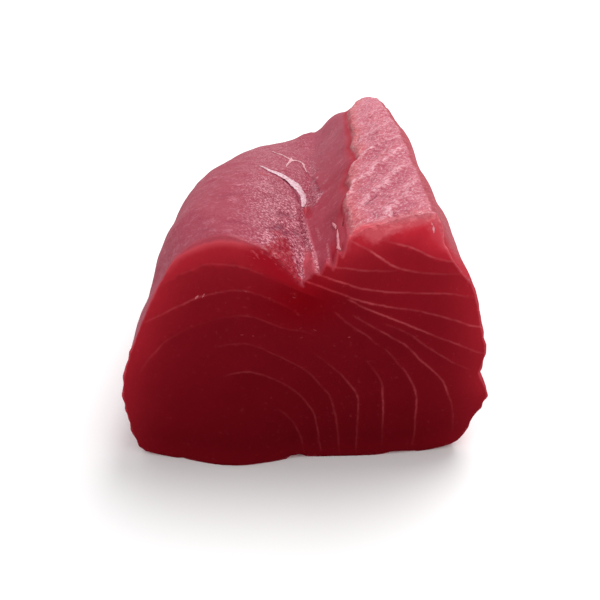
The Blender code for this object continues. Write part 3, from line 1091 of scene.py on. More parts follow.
    @staticmethod
    def _wall(at: Bearings) -> np.ndarray:
        """Where the valley's wall is. Its border with the lobe's grain blurs with distance."""
        blur = 0.5 + 2.2 * smoothstep(-34.0, -20.0, at.y) + 3.0 * smoothstep(0.0, 40.0, at.y)
        border = (GRAIN_BORDER.right_of(at.points) + blur * wavering(at.points, 4.0, 13.0)) / blur
        wall = smoothstep(-1.0, 1.0, border) * (1.0 - at.crest)
        return wall * (smoothstep(60.0, 68.0, at.z) * smoothstep(36.0, 30.0, at.x))

    @staticmethod
    def _tread(at: Bearings) -> np.ndarray:
        """Where the notch's bottom tread is, and the corner under the crest's edge."""
        off = FOLD.right_of(at.points)
        tread = smoothstep(-3.9, -3.3, off) * smoothstep(-0.2, -1.0, off)
        tread *= smoothstep(-62.0, -70.0, at.y) * at.up
        corner = smoothstep(-4.5, -2.0, at.edge) * smoothstep(0.3, -0.8, at.edge)
        corner *= smoothstep(-56.0, -66.0, at.y)
        return np.maximum(tread, 0.8 * corner * smoothstep(76.0, 79.0, at.z))

    @staticmethod
    def _torn(at: Bearings) -> np.ndarray:
        """Where the torn flesh left of the notch is."""
        frayed = 0.8 * wavering(at.points, 2.2, 19.0)
        torn = smoothstep(-1.0, 1.0, TORN_LEFT.right_of(at.points) + frayed)
        torn *= smoothstep(0.7, -0.7, TONGUE.right_of(at.points) + frayed) * smoothstep(-63.0, -67.0, at.y)
        return torn * (smoothstep(66.0, 71.0, at.z) * smoothstep(2.0, 0.0, at.cut))

    @staticmethod
    def _clear(at: Bearings) -> np.ndarray:
        """Where the cut is clear red, just under the torn flesh."""
        below = smoothstep(-21.0, -14.0, at.x) * smoothstep(0.5, -3.0, at.x)
        below = below * smoothstep(70.0, 74.0, at.z) * at.near
        return below * smoothstep(-2.0, 0.5, at.cut) * smoothstep(9.0, 3.0, at.cut)

    @staticmethod
    def _overlap(at: Bearings) -> np.ndarray:
        """How far the crest's skin hangs over the cut: less than nothing at the crest's left end."""
        return 1.5 * smoothstep(20.0, 27.0, at.x) - 1.5 * smoothstep(22.0, 17.0, at.x)

    def _bleed(self, at: Bearings) -> np.ndarray:
        """How far the cut's colour runs over its rim. Under 0, the skin's colour runs over the cut."""
        bleed = -1.2 * bell(at.x, -27.0, 14.0) * smoothstep(78.0, 82.0, at.z)
        on_crest = smoothstep(*CREST_LEFT, at.x) * smoothstep(40.0, 37.0, at.x)
        return bleed - self._overlap(at) * on_crest * smoothstep(80.0, 84.0, at.z)

    def _blush(self, at: Bearings) -> np.ndarray:
        """The rosy band under the crest's front edge."""
        over = at.cut - self._overlap(at) + 0.8 * at.ragged
        blush = smoothstep(-2.4, 1.0, over) * self._crest_front(at) * smoothstep(38.5, 35.0, at.x)
        end = 1.4 * bell(at.x, 21.5, 2.5) + 0.5 * bell(at.x, 26.0, 3.0)
        end = end - 3.0 * smoothstep(20.0, 15.0, at.x)
        return blush * smoothstep(5.6, 1.0, at.cut - end + 0.8 * at.ragged)

    def _side(self, at: Bearings) -> np.ndarray:
        """Where the right flank is, with the strip that shows right of the crest."""
        side = smoothstep(0.35, 0.7, at.normals[:, 0]) * smoothstep(30.0, 38.0, at.x) * at.skin
        off = at.x + 0.4 * wavering(at.points, 5.0, 17.0) - self.flank_x
        strip = smoothstep(-0.6, 0.5, off) * smoothstep(*CREST_FOOT, at.z)
        return np.maximum(side, strip * at.skin)

    @staticmethod
    def _grain(points: np.ndarray) -> np.ndarray:
        """How grainy the lobe's skin is: most near the notch, least on the left flank and far back."""
        x, y, _ = points.T
        near_notch = smoothstep(-30.0, -8.0, x + 0.10 * (y + 60.0))
        by_crease = 0.2 * smoothstep(-6.0, 1.0, x) * smoothstep(34.0, 14.0, y)
        by_distance = (0.4 + 0.6 * smoothstep(10.0, -45.0, y) + by_crease).clip(0.0, 1.0)
        return near_notch**1.4 * by_distance * smoothstep(95.0, 45.0, y)

    def _septa(self) -> tuple[dict[str, np.ndarray], np.ndarray]:
        """Finds how far each point lies from the nearest septum of each layer, and how plainly it shows.

        Returns:
            For each layer, the signed distance and the strength, with a third column that is empty. Then how
            much brighter the flesh is for lying just outside a septum, or darker for lying just inside one.
        """
        flat = self.surface.section()
        layers = {layer.value: np.tile((SEPTUM_FAR, 0.0, 0.0), (len(flat), 1)) for layer in Layer}
        tone = np.zeros(len(flat))
        for septum in SEPTA:
            line = smooth_curve(septum.points, SEPTUM_SPACING)
            run = np.concatenate([[0.0], np.cumsum(np.hypot(*np.diff(line[:, :2], axis=0).T))])
            ends = smoothstep(0.0, 2.0, run) * smoothstep(run[-1], run[-1] - 2.0, run)
            off, index = beside(line[:, :2], flat)
            nearest = np.abs(off)
            kept = layers[septum.layer.value]
            ours = nearest < np.abs(kept[:, 0])
            kept[ours, 0] = off[ours]
            plain = 0.35 * line[index, 2] + 0.25 * line[index, 2] ** 4
            kept[ours, 1] = (plain * ends[index] * smoothstep(*SEPTUM_REACH, nearest))[ours]
            wide_ends = (smoothstep(0.0, 8.0, run) * smoothstep(run[-1], run[-1] - 8.0, run))[index]
            outside = smoothstep(-0.4, 0.4, off)
            tone += septum.step * np.sign(off) * wide_ends * np.exp(-nearest / SEPTUM_STEP_REACH)
            tone += septum.lift * outside * wide_ends * smoothstep(*SEPTUM_LIFT_SPAN, nearest)
        return layers, tone

    def _tear(self, mesh: bpy.types.Mesh, marks: dict[str, np.ndarray], relief: np.ndarray) -> None:
        """Moves the surface's points: the flakes, the torn edges, the ragged rim, the grain and the trims.

        Args:
            mesh: What is moved.
            marks: What is known at each point.
            relief: How far the streaks raise each point.
        """
        normals = self.surface.normals
        points = self._levelled(marks["zones"][:, 0], marks["zones"][:, 1])
        cut = marks["cut"]
        skin = smoothstep(1.5, -1.5, cut) * smoothstep(2.0, 7.0, points[:, 2])
        up = smoothstep(*UPWARD, normals[:, 2]) * smoothstep(64.0, 72.0, points[:, 2])
        rough = self._roughness(points, marks)
        lips = self._lips(points)
        ragged = self._ragged_rim(points, cut)
        trim = self._trim(points, cut, skin, up)
        strands = 0.3 * wavering(points * (0.4, 0.6, 0.8), 0.9, 23.0) * marks["marks"][:, 0]
        raise_by = rough * skin + (lips + relief) * up * skin + ragged + trim + strands
        moved = points + normals * raise_by[:, None]
        moved[:, 2] = np.maximum(moved[:, 2], 0.0)
        mesh.vertices.foreach_set("co", (moved * MM).astype(np.float32).ravel())
        mesh.update()

    def _roughness(self, points: np.ndarray, marks: dict[str, np.ndarray]) -> np.ndarray:
        """The height of the crest's flakes, the low lumps and the grain."""
        x = points[:, 0]
        crest, wall, grainy = marks["zones"].T
        lips, troughs, _ = marks["flakes"].T
        on_crest = crest * smoothstep(39.5, 36.5, x)
        flake = (self.lip_height * lips - self.trough_depth * troughs) * on_crest
        lump = 0.3 * wavering(points, 8.0, 1.0) * (1.0 - 0.6 * wall) * smoothstep(42.0, 36.0, x)
        lump += (0.24 * wavering(points, 3.2, 2.0) + 0.16 * wavering(points, 1.7, 6.0)) * on_crest
        grain = self.grain_height * wavering(points, 1.5, 3.0) * np.maximum(grainy, 1.2 * on_crest)
        return flake + lump + grain

    @staticmethod
    def _lips(points: np.ndarray) -> np.ndarray:
        """The height of the crest's torn left edge, with the cleft beside it, and of the notch's tread."""
        y = points[:, 1]
        edge = CREST_EDGE.right_of(points) + crest_edge_waver(points)
        lip = 0.7 * smoothstep(-0.5, 1.0, edge) * smoothstep(7.0, 2.0, edge)
        lip -= 0.5 * bell(edge, -1.6, 1.2) * smoothstep(-60.0, -40.0, y) * smoothstep(60.0, 10.0, y)
        tread = 1.2 * bell(FOLD.right_of(points), -3.4, 1.7)
        return lip + tread * smoothstep(-79.0, -70.0, y) * smoothstep(-14.0, -34.0, y)

    def _ragged_rim(self, points: np.ndarray, cut: np.ndarray) -> np.ndarray:
        """The height of the rim's fraying, most on the flanks."""
        normals = self.surface.normals
        side_rim = smoothstep(0.2, 0.6, np.abs(normals[:, 0]) + (normals[:, 2] < -0.3))
        frayed = (0.12 + 0.28 * side_rim) * wavering(points, 3.5, 5.0)
        return frayed * bell(cut, 0.0, 1.6) * smoothstep(3.0, 9.0, points[:, 2])

    def _trim(self, points: np.ndarray, cut: np.ndarray, skin: np.ndarray, up: np.ndarray) -> np.ndarray:
        """How far the outline is let out, or taken in where it is under 0.

        Args:
            points: The surface's points.
            cut: The distance from the rim.
            skin: Where the outside is.
            up: Where the top is.

        Returns:
            The distance at each point.
        """
        x, y, z = points.T
        to_right = smoothstep(0.3, 0.8, self.surface.normals[:, 0])
        to_left = smoothstep(-0.3, -0.7, self.surface.normals[:, 0])
        right, left = smoothstep(34.0, 42.0, x), smoothstep(-28.0, -36.0, x)
        far = smoothstep(50.0, 72.0, y)
        trim = -1.8 * bell(z, 76.0, 6.0) * to_right * smoothstep(-50.0, -68.0, y)
        trim -= 1.3 * bell(z, 70.0, 6.0) * to_right * bell(y, -60.0, 11.0)
        trim += 0.7 * bell(z, 70.0, 6.0) * to_right * bell(y, -30.0, 12.0)
        trim *= right * smoothstep(0.0, -5.0, cut)
        trim -= 0.8 * bell(z, 73.0, 9.0) * to_left * smoothstep(-10.0, -40.0, y) * skin * left
        trim -= 1.0 * bell(z, 55.0, 8.0) * to_left * smoothstep(-44.0, -56.0, y) * left
        trim += 0.5 * bell(z, 88.0, 6.0) * to_right * smoothstep(36.0, 39.0, x) * skin
        trim += 1.6 * bell(x, 14.0, 6.0) * far * up
        trim += 1.0 * bell(x, 1.0, 5.0) * far * up
        trim -= 1.8 * bell(x, -24.0, 10.0) * smoothstep(50.0, 74.0, y) * up
        return trim

    def _levelled(self, crest: np.ndarray, wall: np.ndarray) -> np.ndarray:
        """Smooths the valley's wall and the crest away from the near cut, and lowers the crest's far end.

        Args:
            crest: Where the crest is.
            wall: Where the valley's wall is.

        Returns:
            The surface's points, with the steps gone.
        """
        points = self.surface.points.copy()
        x, y, z = self.surface.points.T
        inward = smoothstep(-82.0, -77.0, y)

        chosen = wall > 0.01
        level = fitted(points[chosen][:, :2], z[chosen], wall[chosen], self.wall_reach)
        points[chosen, 2] += (level - z[chosen]) * (wall * inward)[chosen]

        across, up = x - self.crest_axis[0], z - self.crest_axis[1]
        angle, radius = np.degrees(np.arctan2(up, across)), np.hypot(across, up)
        share = np.maximum(crest, smoothstep(36.0, 40.0, x) * smoothstep(-14.0, -4.0, up))
        share *= smoothstep(-45.0, -25.0, angle) * smoothstep(84.0, 78.0, y)
        chosen = share > 0.01
        level = fitted(np.stack([angle, y], 1)[chosen], radius[chosen], share[chosen], self.crest_reach)
        scale = 1.0 + (level / radius[chosen] - 1.0) * (share * inward)[chosen]
        points[chosen, 0] = self.crest_axis[0] + across[chosen] * scale
        points[chosen, 2] = self.crest_axis[1] + up[chosen] * scale
        far_crest = smoothstep(*CREST_TOP, z) * smoothstep(16.0, 22.0, x)
        points[:, 2] -= self.far_crest_drop * smoothstep(25.0, 75.0, y) * far_crest
        return points

    @staticmethod
    def _write(mesh: bpy.types.Mesh, marks: dict[str, np.ndarray]) -> None:
        """Keeps the marks on the mesh's points, as attributes."""
        for name, values in marks.items():
            single = values.ndim == 1
            layer = mesh.attributes.new(name, "FLOAT" if single else "FLOAT_VECTOR", "POINT")
            layer.data.foreach_set("value" if single else "vector", values.astype(np.float32).ravel())


@dataclass(frozen=True)
class Flesh:
    """The finish of raw tuna: dark clear cuts with pale septa, and a pink grainy outside."""

    # The cut: at the sole, higher up, then painted light from the rims: faint, strong just inside, and on the
    # rim
    deep: Colour = (0.095, 0.0021, 0.0047)
    body: Colour = (0.118, 0.0032, 0.0072)
    warm: Colour = (0.300, 0.0080, 0.0160)
    hot: Colour = (0.470, 0.0220, 0.0360)
    rim: Colour = (0.600, 0.075, 0.100)
    lip: Colour = (0.400, 0.050, 0.074)
    blush: Colour = (0.580, 0.085, 0.108)
    clear: Colour = (0.300, 0.0050, 0.0130)
    septum: Colour = (0.60, 0.105, 0.125)
    # The outside
    lobe: Colour = (0.320, 0.058, 0.086)
    lobe_light: Colour = (0.66, 0.290, 0.370)
    lobe_dark: Colour = (0.250, 0.024, 0.052)
    wall: Colour = (0.345, 0.046, 0.074)
    wall_dark: Colour = (0.270, 0.022, 0.042)
    wall_far: Colour = (0.350, 0.072, 0.104)
    crest: Colour = (0.520, 0.135, 0.175)
    crest_warm: Colour = (0.540, 0.110, 0.125)
    crest_cool: Colour = (0.450, 0.105, 0.165)
    # painted highlights on the crest: glints on its grain and shine along its lips and fibre streaks
    crest_highlight: Colour = (0.86, 0.50, 0.57)
    # dark pink: painted shade in the troughs and under the lips, and also darker streaks and specks
    crest_dark: Colour = (0.36, 0.045, 0.072)
    flank: Colour = (0.385, 0.083, 0.100)
    flank_red: Colour = (0.375, 0.020, 0.033)
    blush_light: Colour = (0.720, 0.150, 0.180)
    hollow: Colour = (0.97, 0.28, 0.42)
    tread: Colour = (0.460, 0.060, 0.085)
    raw: Colour = (0.360, 0.016, 0.032)
    raw_dark: Colour = (0.300, 0.010, 0.021)
    raw_light: Colour = (0.500, 0.070, 0.100)
    # dark red of the grain's pits and the dark streaks: partly the flesh's dark marks, partly painted shade
    # in pits, slits, creases and a groove
    dark_mark_and_shade: Colour = (0.180, 0.018, 0.045)
    pale: Colour = (0.760, 0.330, 0.390)
    septum_half_width: float = 0.20
    flake_turn: float = 0.967
    rim_turn: float = 0.708

    def material(self) -> bpy.types.Material:
        """The material.

        Returns:
            The finished material.
        """
        graph = Graph("raw_flesh")
        place = graph.place()
        cut = graph.attribute("cut")
        crest, _, grain = graph.attributes("zones")
        torn, _, side = graph.attributes("marks")
        strand = graph.cloud(graph.place((0.25, 1.0, 1.0), (0.0, -self.rim_turn, 0.0)), 1.1, 3.0, 0.6)
        ragged = (graph.cloud(place, 1.5, 3.0) - 0.5) * 1.6 + (strand - 0.5) * 5.0 * torn
        blush, _, clear = graph.attributes("bands")
        hollow = graph.attribute("hollow")
        skin = (cut + ragged).rise(0.6, -0.8)
        fine = graph.cloud(place, 0.8, 3.0, 0.65)
        face = self._cut_colour(graph, cut + 0.4 * ragged, place)
        face = face.towards(face.filtered(self.hollow), hollow)
        face = face.towards(self.clear, clear * 0.75)
        face = face.towards(self.raw_light, clear * strand.rise(0.62, 0.70) * 0.8)
        outside, height = self._skin(graph, place, fine)
        height = height + strand * torn
        at_lip = (cut + ragged).rise(-3.0, -0.3) * (1.0 - crest) * (1.0 - side)
        outside = outside.towards(self.lip, at_lip * 0.85)
        soft = graph.cloud(place, 1.7, 3.0)
        patchy = (soft - 0.5) * 0.9 + (fine - 0.5) * 0.5
        band = (blush + patchy).rise(0.10, 1.00)
        fleck = graph.cloud(graph.place((0.6, 1.0, 1.0)), 1.3, 3.0, 0.65)
        rosy = graph.mix(self.blush, self.blush_light, fleck.rise(0.44, 0.62) * cut.rise(3.6, -0.5))
        face = face.towards(rosy, band * (0.55 + 0.7 * fine).clamped())
        upper = crest * cut.rise(-2.4, -0.4)
        outside = outside.towards(rosy, (blush * 0.3).at_least(upper * (0.35 + 0.9 * fleck)).clamped())
        colour = face.towards(outside, skin)
        fibres = graph.mix(self.raw_dark, self.raw_light, strand.rise(0.50, 0.72))
        colour = colour.towards(fibres, torn.clamped() * 0.8)
        rough_skin = (0.15 + 0.85 * grain).at_least(crest)
        coat = skin * (0.06 + (0.1 + 0.45 * fine) * rough_skin) * (1.0 - 0.85 * side)
        normal = graph.bump(height * cut.rise(1.2, -2.6).at_least(torn) + fine * 0.05, 0.35)
        return graph.finish(
            Base_Color=colour,
            Roughness=0.5,
            Specular_IOR_Level=0.0,
            Coat_Weight=coat.clamped(),
            Coat_Roughness=0.25,
            Normal=normal,
        )

    def _lines(self, graph: Graph) -> tuple[Wire, Wire]:
        """The septa's lines and the soft pale band round each.

        Args:
            graph: Where the nodes go.

        Returns:
            The lines and the bands, each from 0 to about 1.
        """
        place = graph.place()
        waver = (graph.cloud(place, 5.0, 3.0) - 0.5) * 0.9
        broken = graph.cloud(place, 3.5, 2.0).rise(0.3, 0.62) * 0.6 + 0.4
        line, band = None, None
        for layer in Layer:
            distance, strength, _ = graph.attributes(layer.value)
            away = abs(distance + waver)
            width = self.septum_half_width
            here = away.rise(3.0 * width, 0.2 * width) * strength * broken
            glow = away.rise(1.8, 0.0) * strength
            line = here if line is None else line.at_least(here)
            band = glow if band is None else band.at_least(glow)
        return line, band

    def _cut_colour(self, graph: Graph, cut: Wire, place: Tint) -> Tint:
        """The colour of a cut face: dark in the middle, brighter where light comes through its edge.

        Args:
            graph: Where the nodes go.
            cut: The distance from the rim.
            place: The point's place.

        Returns:
            The colour.
        """
        line, band = self._lines(graph)
        narrow, wide, height = graph.attributes("glow")
        cloud = graph.cloud(place, 12.0, 3.0)
        fibre = graph.cloud(graph.place((1.0, 1.0, 0.6)), 1.6, 3.0)
        colour = graph.mix(self.deep, self.body, (height * 1.25 - 0.15 + (cloud - 0.5) * 0.5).clamped())
        # Painted light that comes through the flesh from the rims: faint from the wide glow, strong just
        # inside the rim
        colour = colour.towards(self.warm, (wide * (0.34 + 0.3 * cloud)).clamped())
        colour = colour.towards(self.hot, (narrow * 0.75).clamped())
        colour = colour.times((1.0 + graph.attribute("tone")) * (0.94 + 0.12 * fibre))
        colour = colour.times(1.0 + 0.35 * height.rise(0.15, 0.0))
        # A painted bright line on the rim, where light comes through the thin edge
        colour = colour.towards(self.rim, cut.rise(0.9, 0.0) * narrow.rise(0.10, 0.6) * 0.6)
        colour = colour.towards(self.rim, cut.rise(2.8, 0.3) * narrow.rise(0.55, 0.95) * 0.6)
        colour = colour.towards(self.hot, band * 0.05)
        return colour.towards(self.septum, (line.at_most(1.9) * (0.27 + 0.22 * height)).clamped())

    def _skin(self, graph: Graph, place: Tint, fine: Wire) -> tuple[Tint, Wire]:
        """The outside's colour and height.

        Args:
            graph: Where the nodes go.
            place: The point's place.
            fine: The finest grain, from 0 to 1.

        Returns:
            The colour, and the height from 0 to about 1.
        """
        crest, wall, grain = graph.attributes("zones")
        _, tread, side = graph.attributes("marks")
        pale, dark, raw = graph.attributes("streaks")
        patches = graph.cloud(place, 10.0, 3.0)
        speckle = graph.cells(place, 0.95)
        fleck = graph.cloud(graph.place((0.7, 1.0, 1.0), (0.0, -self.rim_turn, 0.0)), 1.2, 3.0, 0.6)
        mottle = graph.cloud(place, 3.2, 2.0)
        run = graph.cloud(graph.place((1.0, 0.3, 0.8)), 0.9, 3.0, 0.6)
        crumb = graph.cells(place, 1.7)

        lobe = graph.mix(self.lobe, self.lobe_dark, (patches * 2.0 - 0.9).clamped() * 0.35)
        lobe = lobe.towards(self.lobe_light, mottle.rise(0.52, 0.75) * 0.16)
        lobe = lobe.towards(self.lobe_dark, mottle.rise(0.46, 0.28) * 0.30)
        # The grain's pale flecks are partly painted glints of the wet grain, and its dark pits partly painted
        # shade
        lobe = lobe.towards(self.lobe_dark, fine.rise(0.48, 0.36) * (0.10 + 0.55 * grain))
        lobe = lobe.towards(self.lobe_light, fine.rise(0.50, 0.66) * (0.10 + 0.75 * grain))
        lobe = lobe.towards(self.lobe_dark, speckle.rise(0.55, 0.9) * grain * 0.7)
        lobe = lobe.towards(self.dark_mark_and_shade, (0.5 * fleck + 0.5 * fine).rise(0.475, 0.39) * grain**1.8 * 0.8)
        lobe = lobe.towards(self.pale, (0.5 * fleck + 0.5 * fine).rise(0.52, 0.61) * grain**1.8 * 0.75)

        lip, trough, edge_shade = graph.attributes("flakes")
        slanted = graph.place((0.2, 1.0, 1.0), (0.0, 0.0, -self.flake_turn))
        along = graph.cloud(slanted, 1.8, 3.0, 0.6)
        thread = graph.cloud(slanted, 0.75, 2.0, 0.6)
        # Painted shade in the troughs before the lips, cooler and darker there; elsewhere cool patches and
        # dark streaks along the flakes
        cool = (patches * 2.0 - 0.7).clamped() * 0.6
        top = graph.mix(self.crest, self.crest_cool, cool.at_least(trough * 0.7))
        top = top.towards(self.crest_warm, (edge_shade * 0.9 + mottle.rise(0.55, 0.75) * 0.4).clamped())
        shade = trough * (0.15 + 0.4 * along) + along.rise(0.48, 0.34) * 0.35
        top = top.towards(self.crest_dark, shade.clamped())
        crease, side_red, rim = graph.attributes("details")
        plain = 1.0 - 0.6 * rim
        top = top.towards(self.crest_warm, rim * 0.55)
        # Painted highlights: glints on the grain, and shine along the flakes' lips and the fibre streaks
        glint = fine.rise(0.48, 0.68) * (0.5 - 0.25 * edge_shade)
        top = top.towards(self.crest_highlight, glint * (1.0 - 0.35 * rim))
        specks = speckle.rise(0.5, 0.9) * 0.45 + crumb.rise(0.62, 0.95) * 0.4
        top = top.towards(self.crest_dark, specks * plain)
        # A painted shadow under each flake's lip
        top = top.towards(self.crest_dark, (crease * fleck.rise(0.60, 0.44)).clamped() * 0.8)
        lip_highlights = 0.6 * lip * fleck.rise(0.42, 0.56)
        thread_highlights = 0.35 * thread.rise(0.54, 0.68) * (1.0 - 0.7 * trough) * plain
        top = top.towards(self.crest_highlight, (lip_highlights + thread_highlights).clamped())

        _, far, _ = graph.attributes("bands")
        side_wall = graph.mix(self.wall, self.wall_dark, (patches * 2.2 - 0.8).clamped() * 0.5)
        side_wall = side_wall.towards(self.wall_far, far)
        side_wall = side_wall.towards(self.wall_dark, run.rise(0.47, 0.32) * 0.16)
        flecked = run.rise(0.54, 0.70) * 0.07 + mottle.rise(0.56, 0.75) * 0.12
        side_wall = side_wall.towards(self.lobe_light, flecked)
        side_wall = side_wall.towards(self.lobe_light, fine.rise(0.56, 0.75) * (0.12 + 0.15 * far))
        # Painted shade: the wall deep red beside the crest's edge
        side_wall = side_wall.towards(self.flank_red, graph.attribute("cleft"))

        colour = lobe.towards(side_wall, wall)
        colour = colour.towards(self.tread, tread * (0.5 + 0.8 * fine).clamped()).towards(top, crest)
        flank = graph.mix(self.flank, self.lobe_dark, mottle.rise(0.56, 0.34) * 0.25)
        flank = flank.towards(self.lobe_light, fine.rise(0.50, 0.70) * 0.30)
        flank = flank.towards(self.flank_red, (side_red + (mottle - 0.5) * 0.5 * side_red).clamped())
        colour = colour.towards(flank, side)
        colour = colour.towards(self.raw, raw * (0.6 + 0.6 * fine).clamped())
        # Dark streaks: dark marks of the flesh, and painted shade in the slit, the crease and the groove
        colour = colour.towards(self.dark_mark_and_shade, dark * (0.5 + 0.8 * fine).clamped())
        colour = colour.towards(self.pale, pale * fine.rise(0.38, 0.60) * 0.9)

        lumpy = (0.15 + 0.85 * grain).at_least(crest) * (1.0 - 0.7 * wall)
        height = (0.3 * speckle + 0.7 * fine) * lumpy + (0.5 * along + 0.4 * thread) * crest
        return colour, height


class Side(Enum):
    """Where a strand lies: on the top, or on the near cut face."""

    TOP = "top"
    FACE = "face"


WIDTH_WAVER = 0.25  # the share by which a strand's width wavers
WIDTH_WAVER_SIZE = 1.4  # the length of one waver
ROUNDEST = 0.6  # a strand's depth is at most this share of its width


@dataclass(frozen=True)
class Ribbon:
    """A strand or strip laid on the flesh: a tube, pressed flat.

    Its route holds x, y and width on the top, or x, z and width on the cut face.
    """

    route: tuple[tuple[float, float, float], ...]
    thickness: float
    lift: float = 0.0
    sides: int = 10
    spacing: float = 0.5
    side: Side = Side.TOP

    def add_to(self, bm: bmesh.types.BMesh, ground: "Ground") -> None:
        """Adds the strand to a mesh.

        Args:
            bm: What the strand is added to.
            ground: What it lies on.
        """
        curve = smooth_curve(self.route, self.spacing)
        spine = ground.drape(curve, self.lift, self.side)
        rings = []
        for i, (spot, normal) in enumerate(spine):
            ahead = spine[min(i + 1, len(spine) - 1)][0] - spine[max(i - 1, 0)][0]
            ahead.normalize()
            across = normal.cross(ahead).normalized()
            over = ahead.cross(across)
            width = curve[i][2] * (1.0 + WIDTH_WAVER * noise.noise(spot / WIDTH_WAVER_SIZE))
            depth = min(self.thickness, ROUNDEST * width)
            turn = Matrix((across * width, over * depth, ahead)).transposed().to_4x4()
            made = bmesh.ops.create_circle(
                bm, cap_ends=False, segments=self.sides, radius=0.5, matrix=Matrix.Translation(spot) @ turn
            )
            rings.append(made["verts"])
        for ring, following in zip(rings, rings[1:]):
            first, second = set(ring), set(following)
            touching = {edge for vert in ring + following for edge in vert.link_edges}
            loops = [edge for edge in touching if set(edge.verts) <= first or set(edge.verts) <= second]
            bmesh.ops.bridge_loops(bm, edges=loops)
        for end in (rings[0], rings[-1]):
            bmesh.ops.contextual_create(bm, geom=end)


class Ground:
    """The flesh, as strands that lie on it feel it."""

    def __init__(self, obj: bpy.types.Object) -> None:
        """Reads the object's mesh, in millimetres."""
        verts = [vert.co / MM for vert in obj.data.vertices]
        self.tree = BVHTree.FromPolygons(verts, [tuple(face.vertices) for face in obj.data.polygons])

    def _touch(self, first: float, second: float, side: Side) -> tuple[Vector, Vector]:
        """The place and normal where a ray from well outside meets the flesh."""
        if side is Side.TOP:
            start, way = Vector((first, second, OUTSIDE)), Vector((0.0, 0.0, -1.0))
        else:
            start, way = Vector((first, -OUTSIDE, second)), Vector((0.0, 1.0, 0.0))
        hit, normal, _, _ = self.tree.ray_cast(start, way)
        return hit, normal

    def drape(self, line: np.ndarray, lift: float, side: Side) -> list[tuple[Vector, Vector]]:
        """Lays a line on the flesh, smoothed so that it spans the small pits.

        Args:
            line: The line's points: x and y first on the top, x and z first on the cut face.
            lift: How far over the flesh it lies.
            side: Where it lies.

        Returns:
            A place and a normal for each point.
        """
        axis = 2 if side is Side.TOP else 1
        hits = [self._touch(spot[0], spot[1], side) for spot in line]
        laid = []
        for i in range(len(hits)):
            around = hits[max(0, i - 2) : i + 3]
            spot = hits[i][0].copy()
            spot[axis] = sum(hit[axis] for hit, _ in around) / len(around)
            normal = sum((normal for _, normal in around), Vector()).normalized()
            laid.append((spot + normal * lift, normal))
        return laid


SLIVER_TIP = 0.3  # the width of a sliver's tips, as a share of its middle's
SLIVER_THICKNESS = 0.2


@dataclass(frozen=True)
class Sliver:
    """A short sliver of septum or torn fibre on the near cut face, at x and z."""

    x: float
    z: float
    length: float
    slope: float
    width: float

    def ribbon(self) -> Ribbon:
        """The sliver as a strand that is thin at both ends."""
        across = 0.5 * self.length * math.cos(math.radians(self.slope))
        rise = 0.5 * self.length * math.sin(math.radians(self.slope))
        route = (
            (self.x - across, self.z - rise, SLIVER_TIP * self.width),
            (self.x, self.z, self.width),
            (self.x + across, self.z + rise, SLIVER_TIP * self.width),
        )
        return Ribbon(route=route, thickness=SLIVER_THICKNESS, side=Side.FACE, spacing=0.35, sides=8)


@dataclass(frozen=True)
class Membrane:
    """The finish of white connective tissue, wet and a little clear."""

    white: Colour = (0.70, 0.52, 0.57)
    pink: Colour = (0.56, 0.29, 0.34)
    gloss: float = 0.3

    def material(self, name: str) -> bpy.types.Material:
        """The finished material, under that name."""
        graph = Graph(name)
        place = graph.place()
        colour = graph.mix(self.pink, self.white, graph.cloud(place, 0.9, 3.0).rise(0.38, 0.60))
        return graph.finish(Base_Color=colour, Roughness=0.4, Specular_IOR_Level=self.gloss)


# Bits of the septa that stand out of the cut, plain and faint, the torn fibres just under the rim left of the
# notch, and the loose bits at the crest's right corner
SEPTUM_SLIVERS = (
    Sliver(-34.1, 66.1, 1.7, 48.0, 0.7), Sliver(-32.0, 66.7, 1.5, 60.0, 0.65),
)
FAINT_SLIVERS = (
    Sliver(-27.9, 68.0, 1.0, 10.0, 0.4), Sliver(-18.6, 68.3, 1.0, -10.0, 0.4),
    Sliver(-3.7, 66.3, 1.1, -15.0, 0.45),
    Sliver(-20.5, 52.6, 1.0, 10.0, 0.35), Sliver(-16.9, 52.2, 0.8, -30.0, 0.35),
    Sliver(2.9, 54.5, 1.1, -25.0, 0.4),
    Sliver(13.9, 51.8, 0.9, 10.0, 0.5), Sliver(-1.6, 55.3, 1.0, 20.0, 0.3),
)
TORN_SLIVERS = (
    Sliver(-16.3, 82.0, 1.5, -20.0, 0.4), Sliver(-14.9, 80.9, 1.3, -35.0, 0.35),
    Sliver(-13.3, 81.6, 1.6, -30.0, 0.45),
    Sliver(-12.6, 79.2, 1.2, -40.0, 0.3), Sliver(-10.9, 79.6, 1.5, -38.0, 0.35),
    Sliver(-9.2, 77.6, 1.3, -40.0, 0.35),
    Sliver(-17.4, 80.2, 1.0, -20.0, 0.3), Sliver(-7.0, 76.6, 1.5, -42.0, 0.3),
    Sliver(-15.8, 79.6, 0.9, -20.0, 0.3),
)
CREST_SLIVERS = (
    Sliver(37.9, 88.6, 2.6, -80.0, 0.7), Sliver(37.2, 90.3, 1.2, -60.0, 0.5),
)
# The pieces that are made of slivers
SLIVER_PIECES = (
    ("septum_slivers", SEPTUM_SLIVERS, Membrane((0.48, 0.12, 0.14), (0.32, 0.035, 0.05), 0.0)),
    ("faint_slivers", FAINT_SLIVERS, Membrane((0.29, 0.035, 0.045), (0.22, 0.014, 0.022), 0.0)),
    ("torn_slivers", TORN_SLIVERS, Membrane((0.46, 0.040, 0.060), (0.36, 0.016, 0.030), 0.0)),
    ("crest_slivers", CREST_SLIVERS, Membrane((0.72, 0.30, 0.34), (0.56, 0.15, 0.18), 0.1)),
)


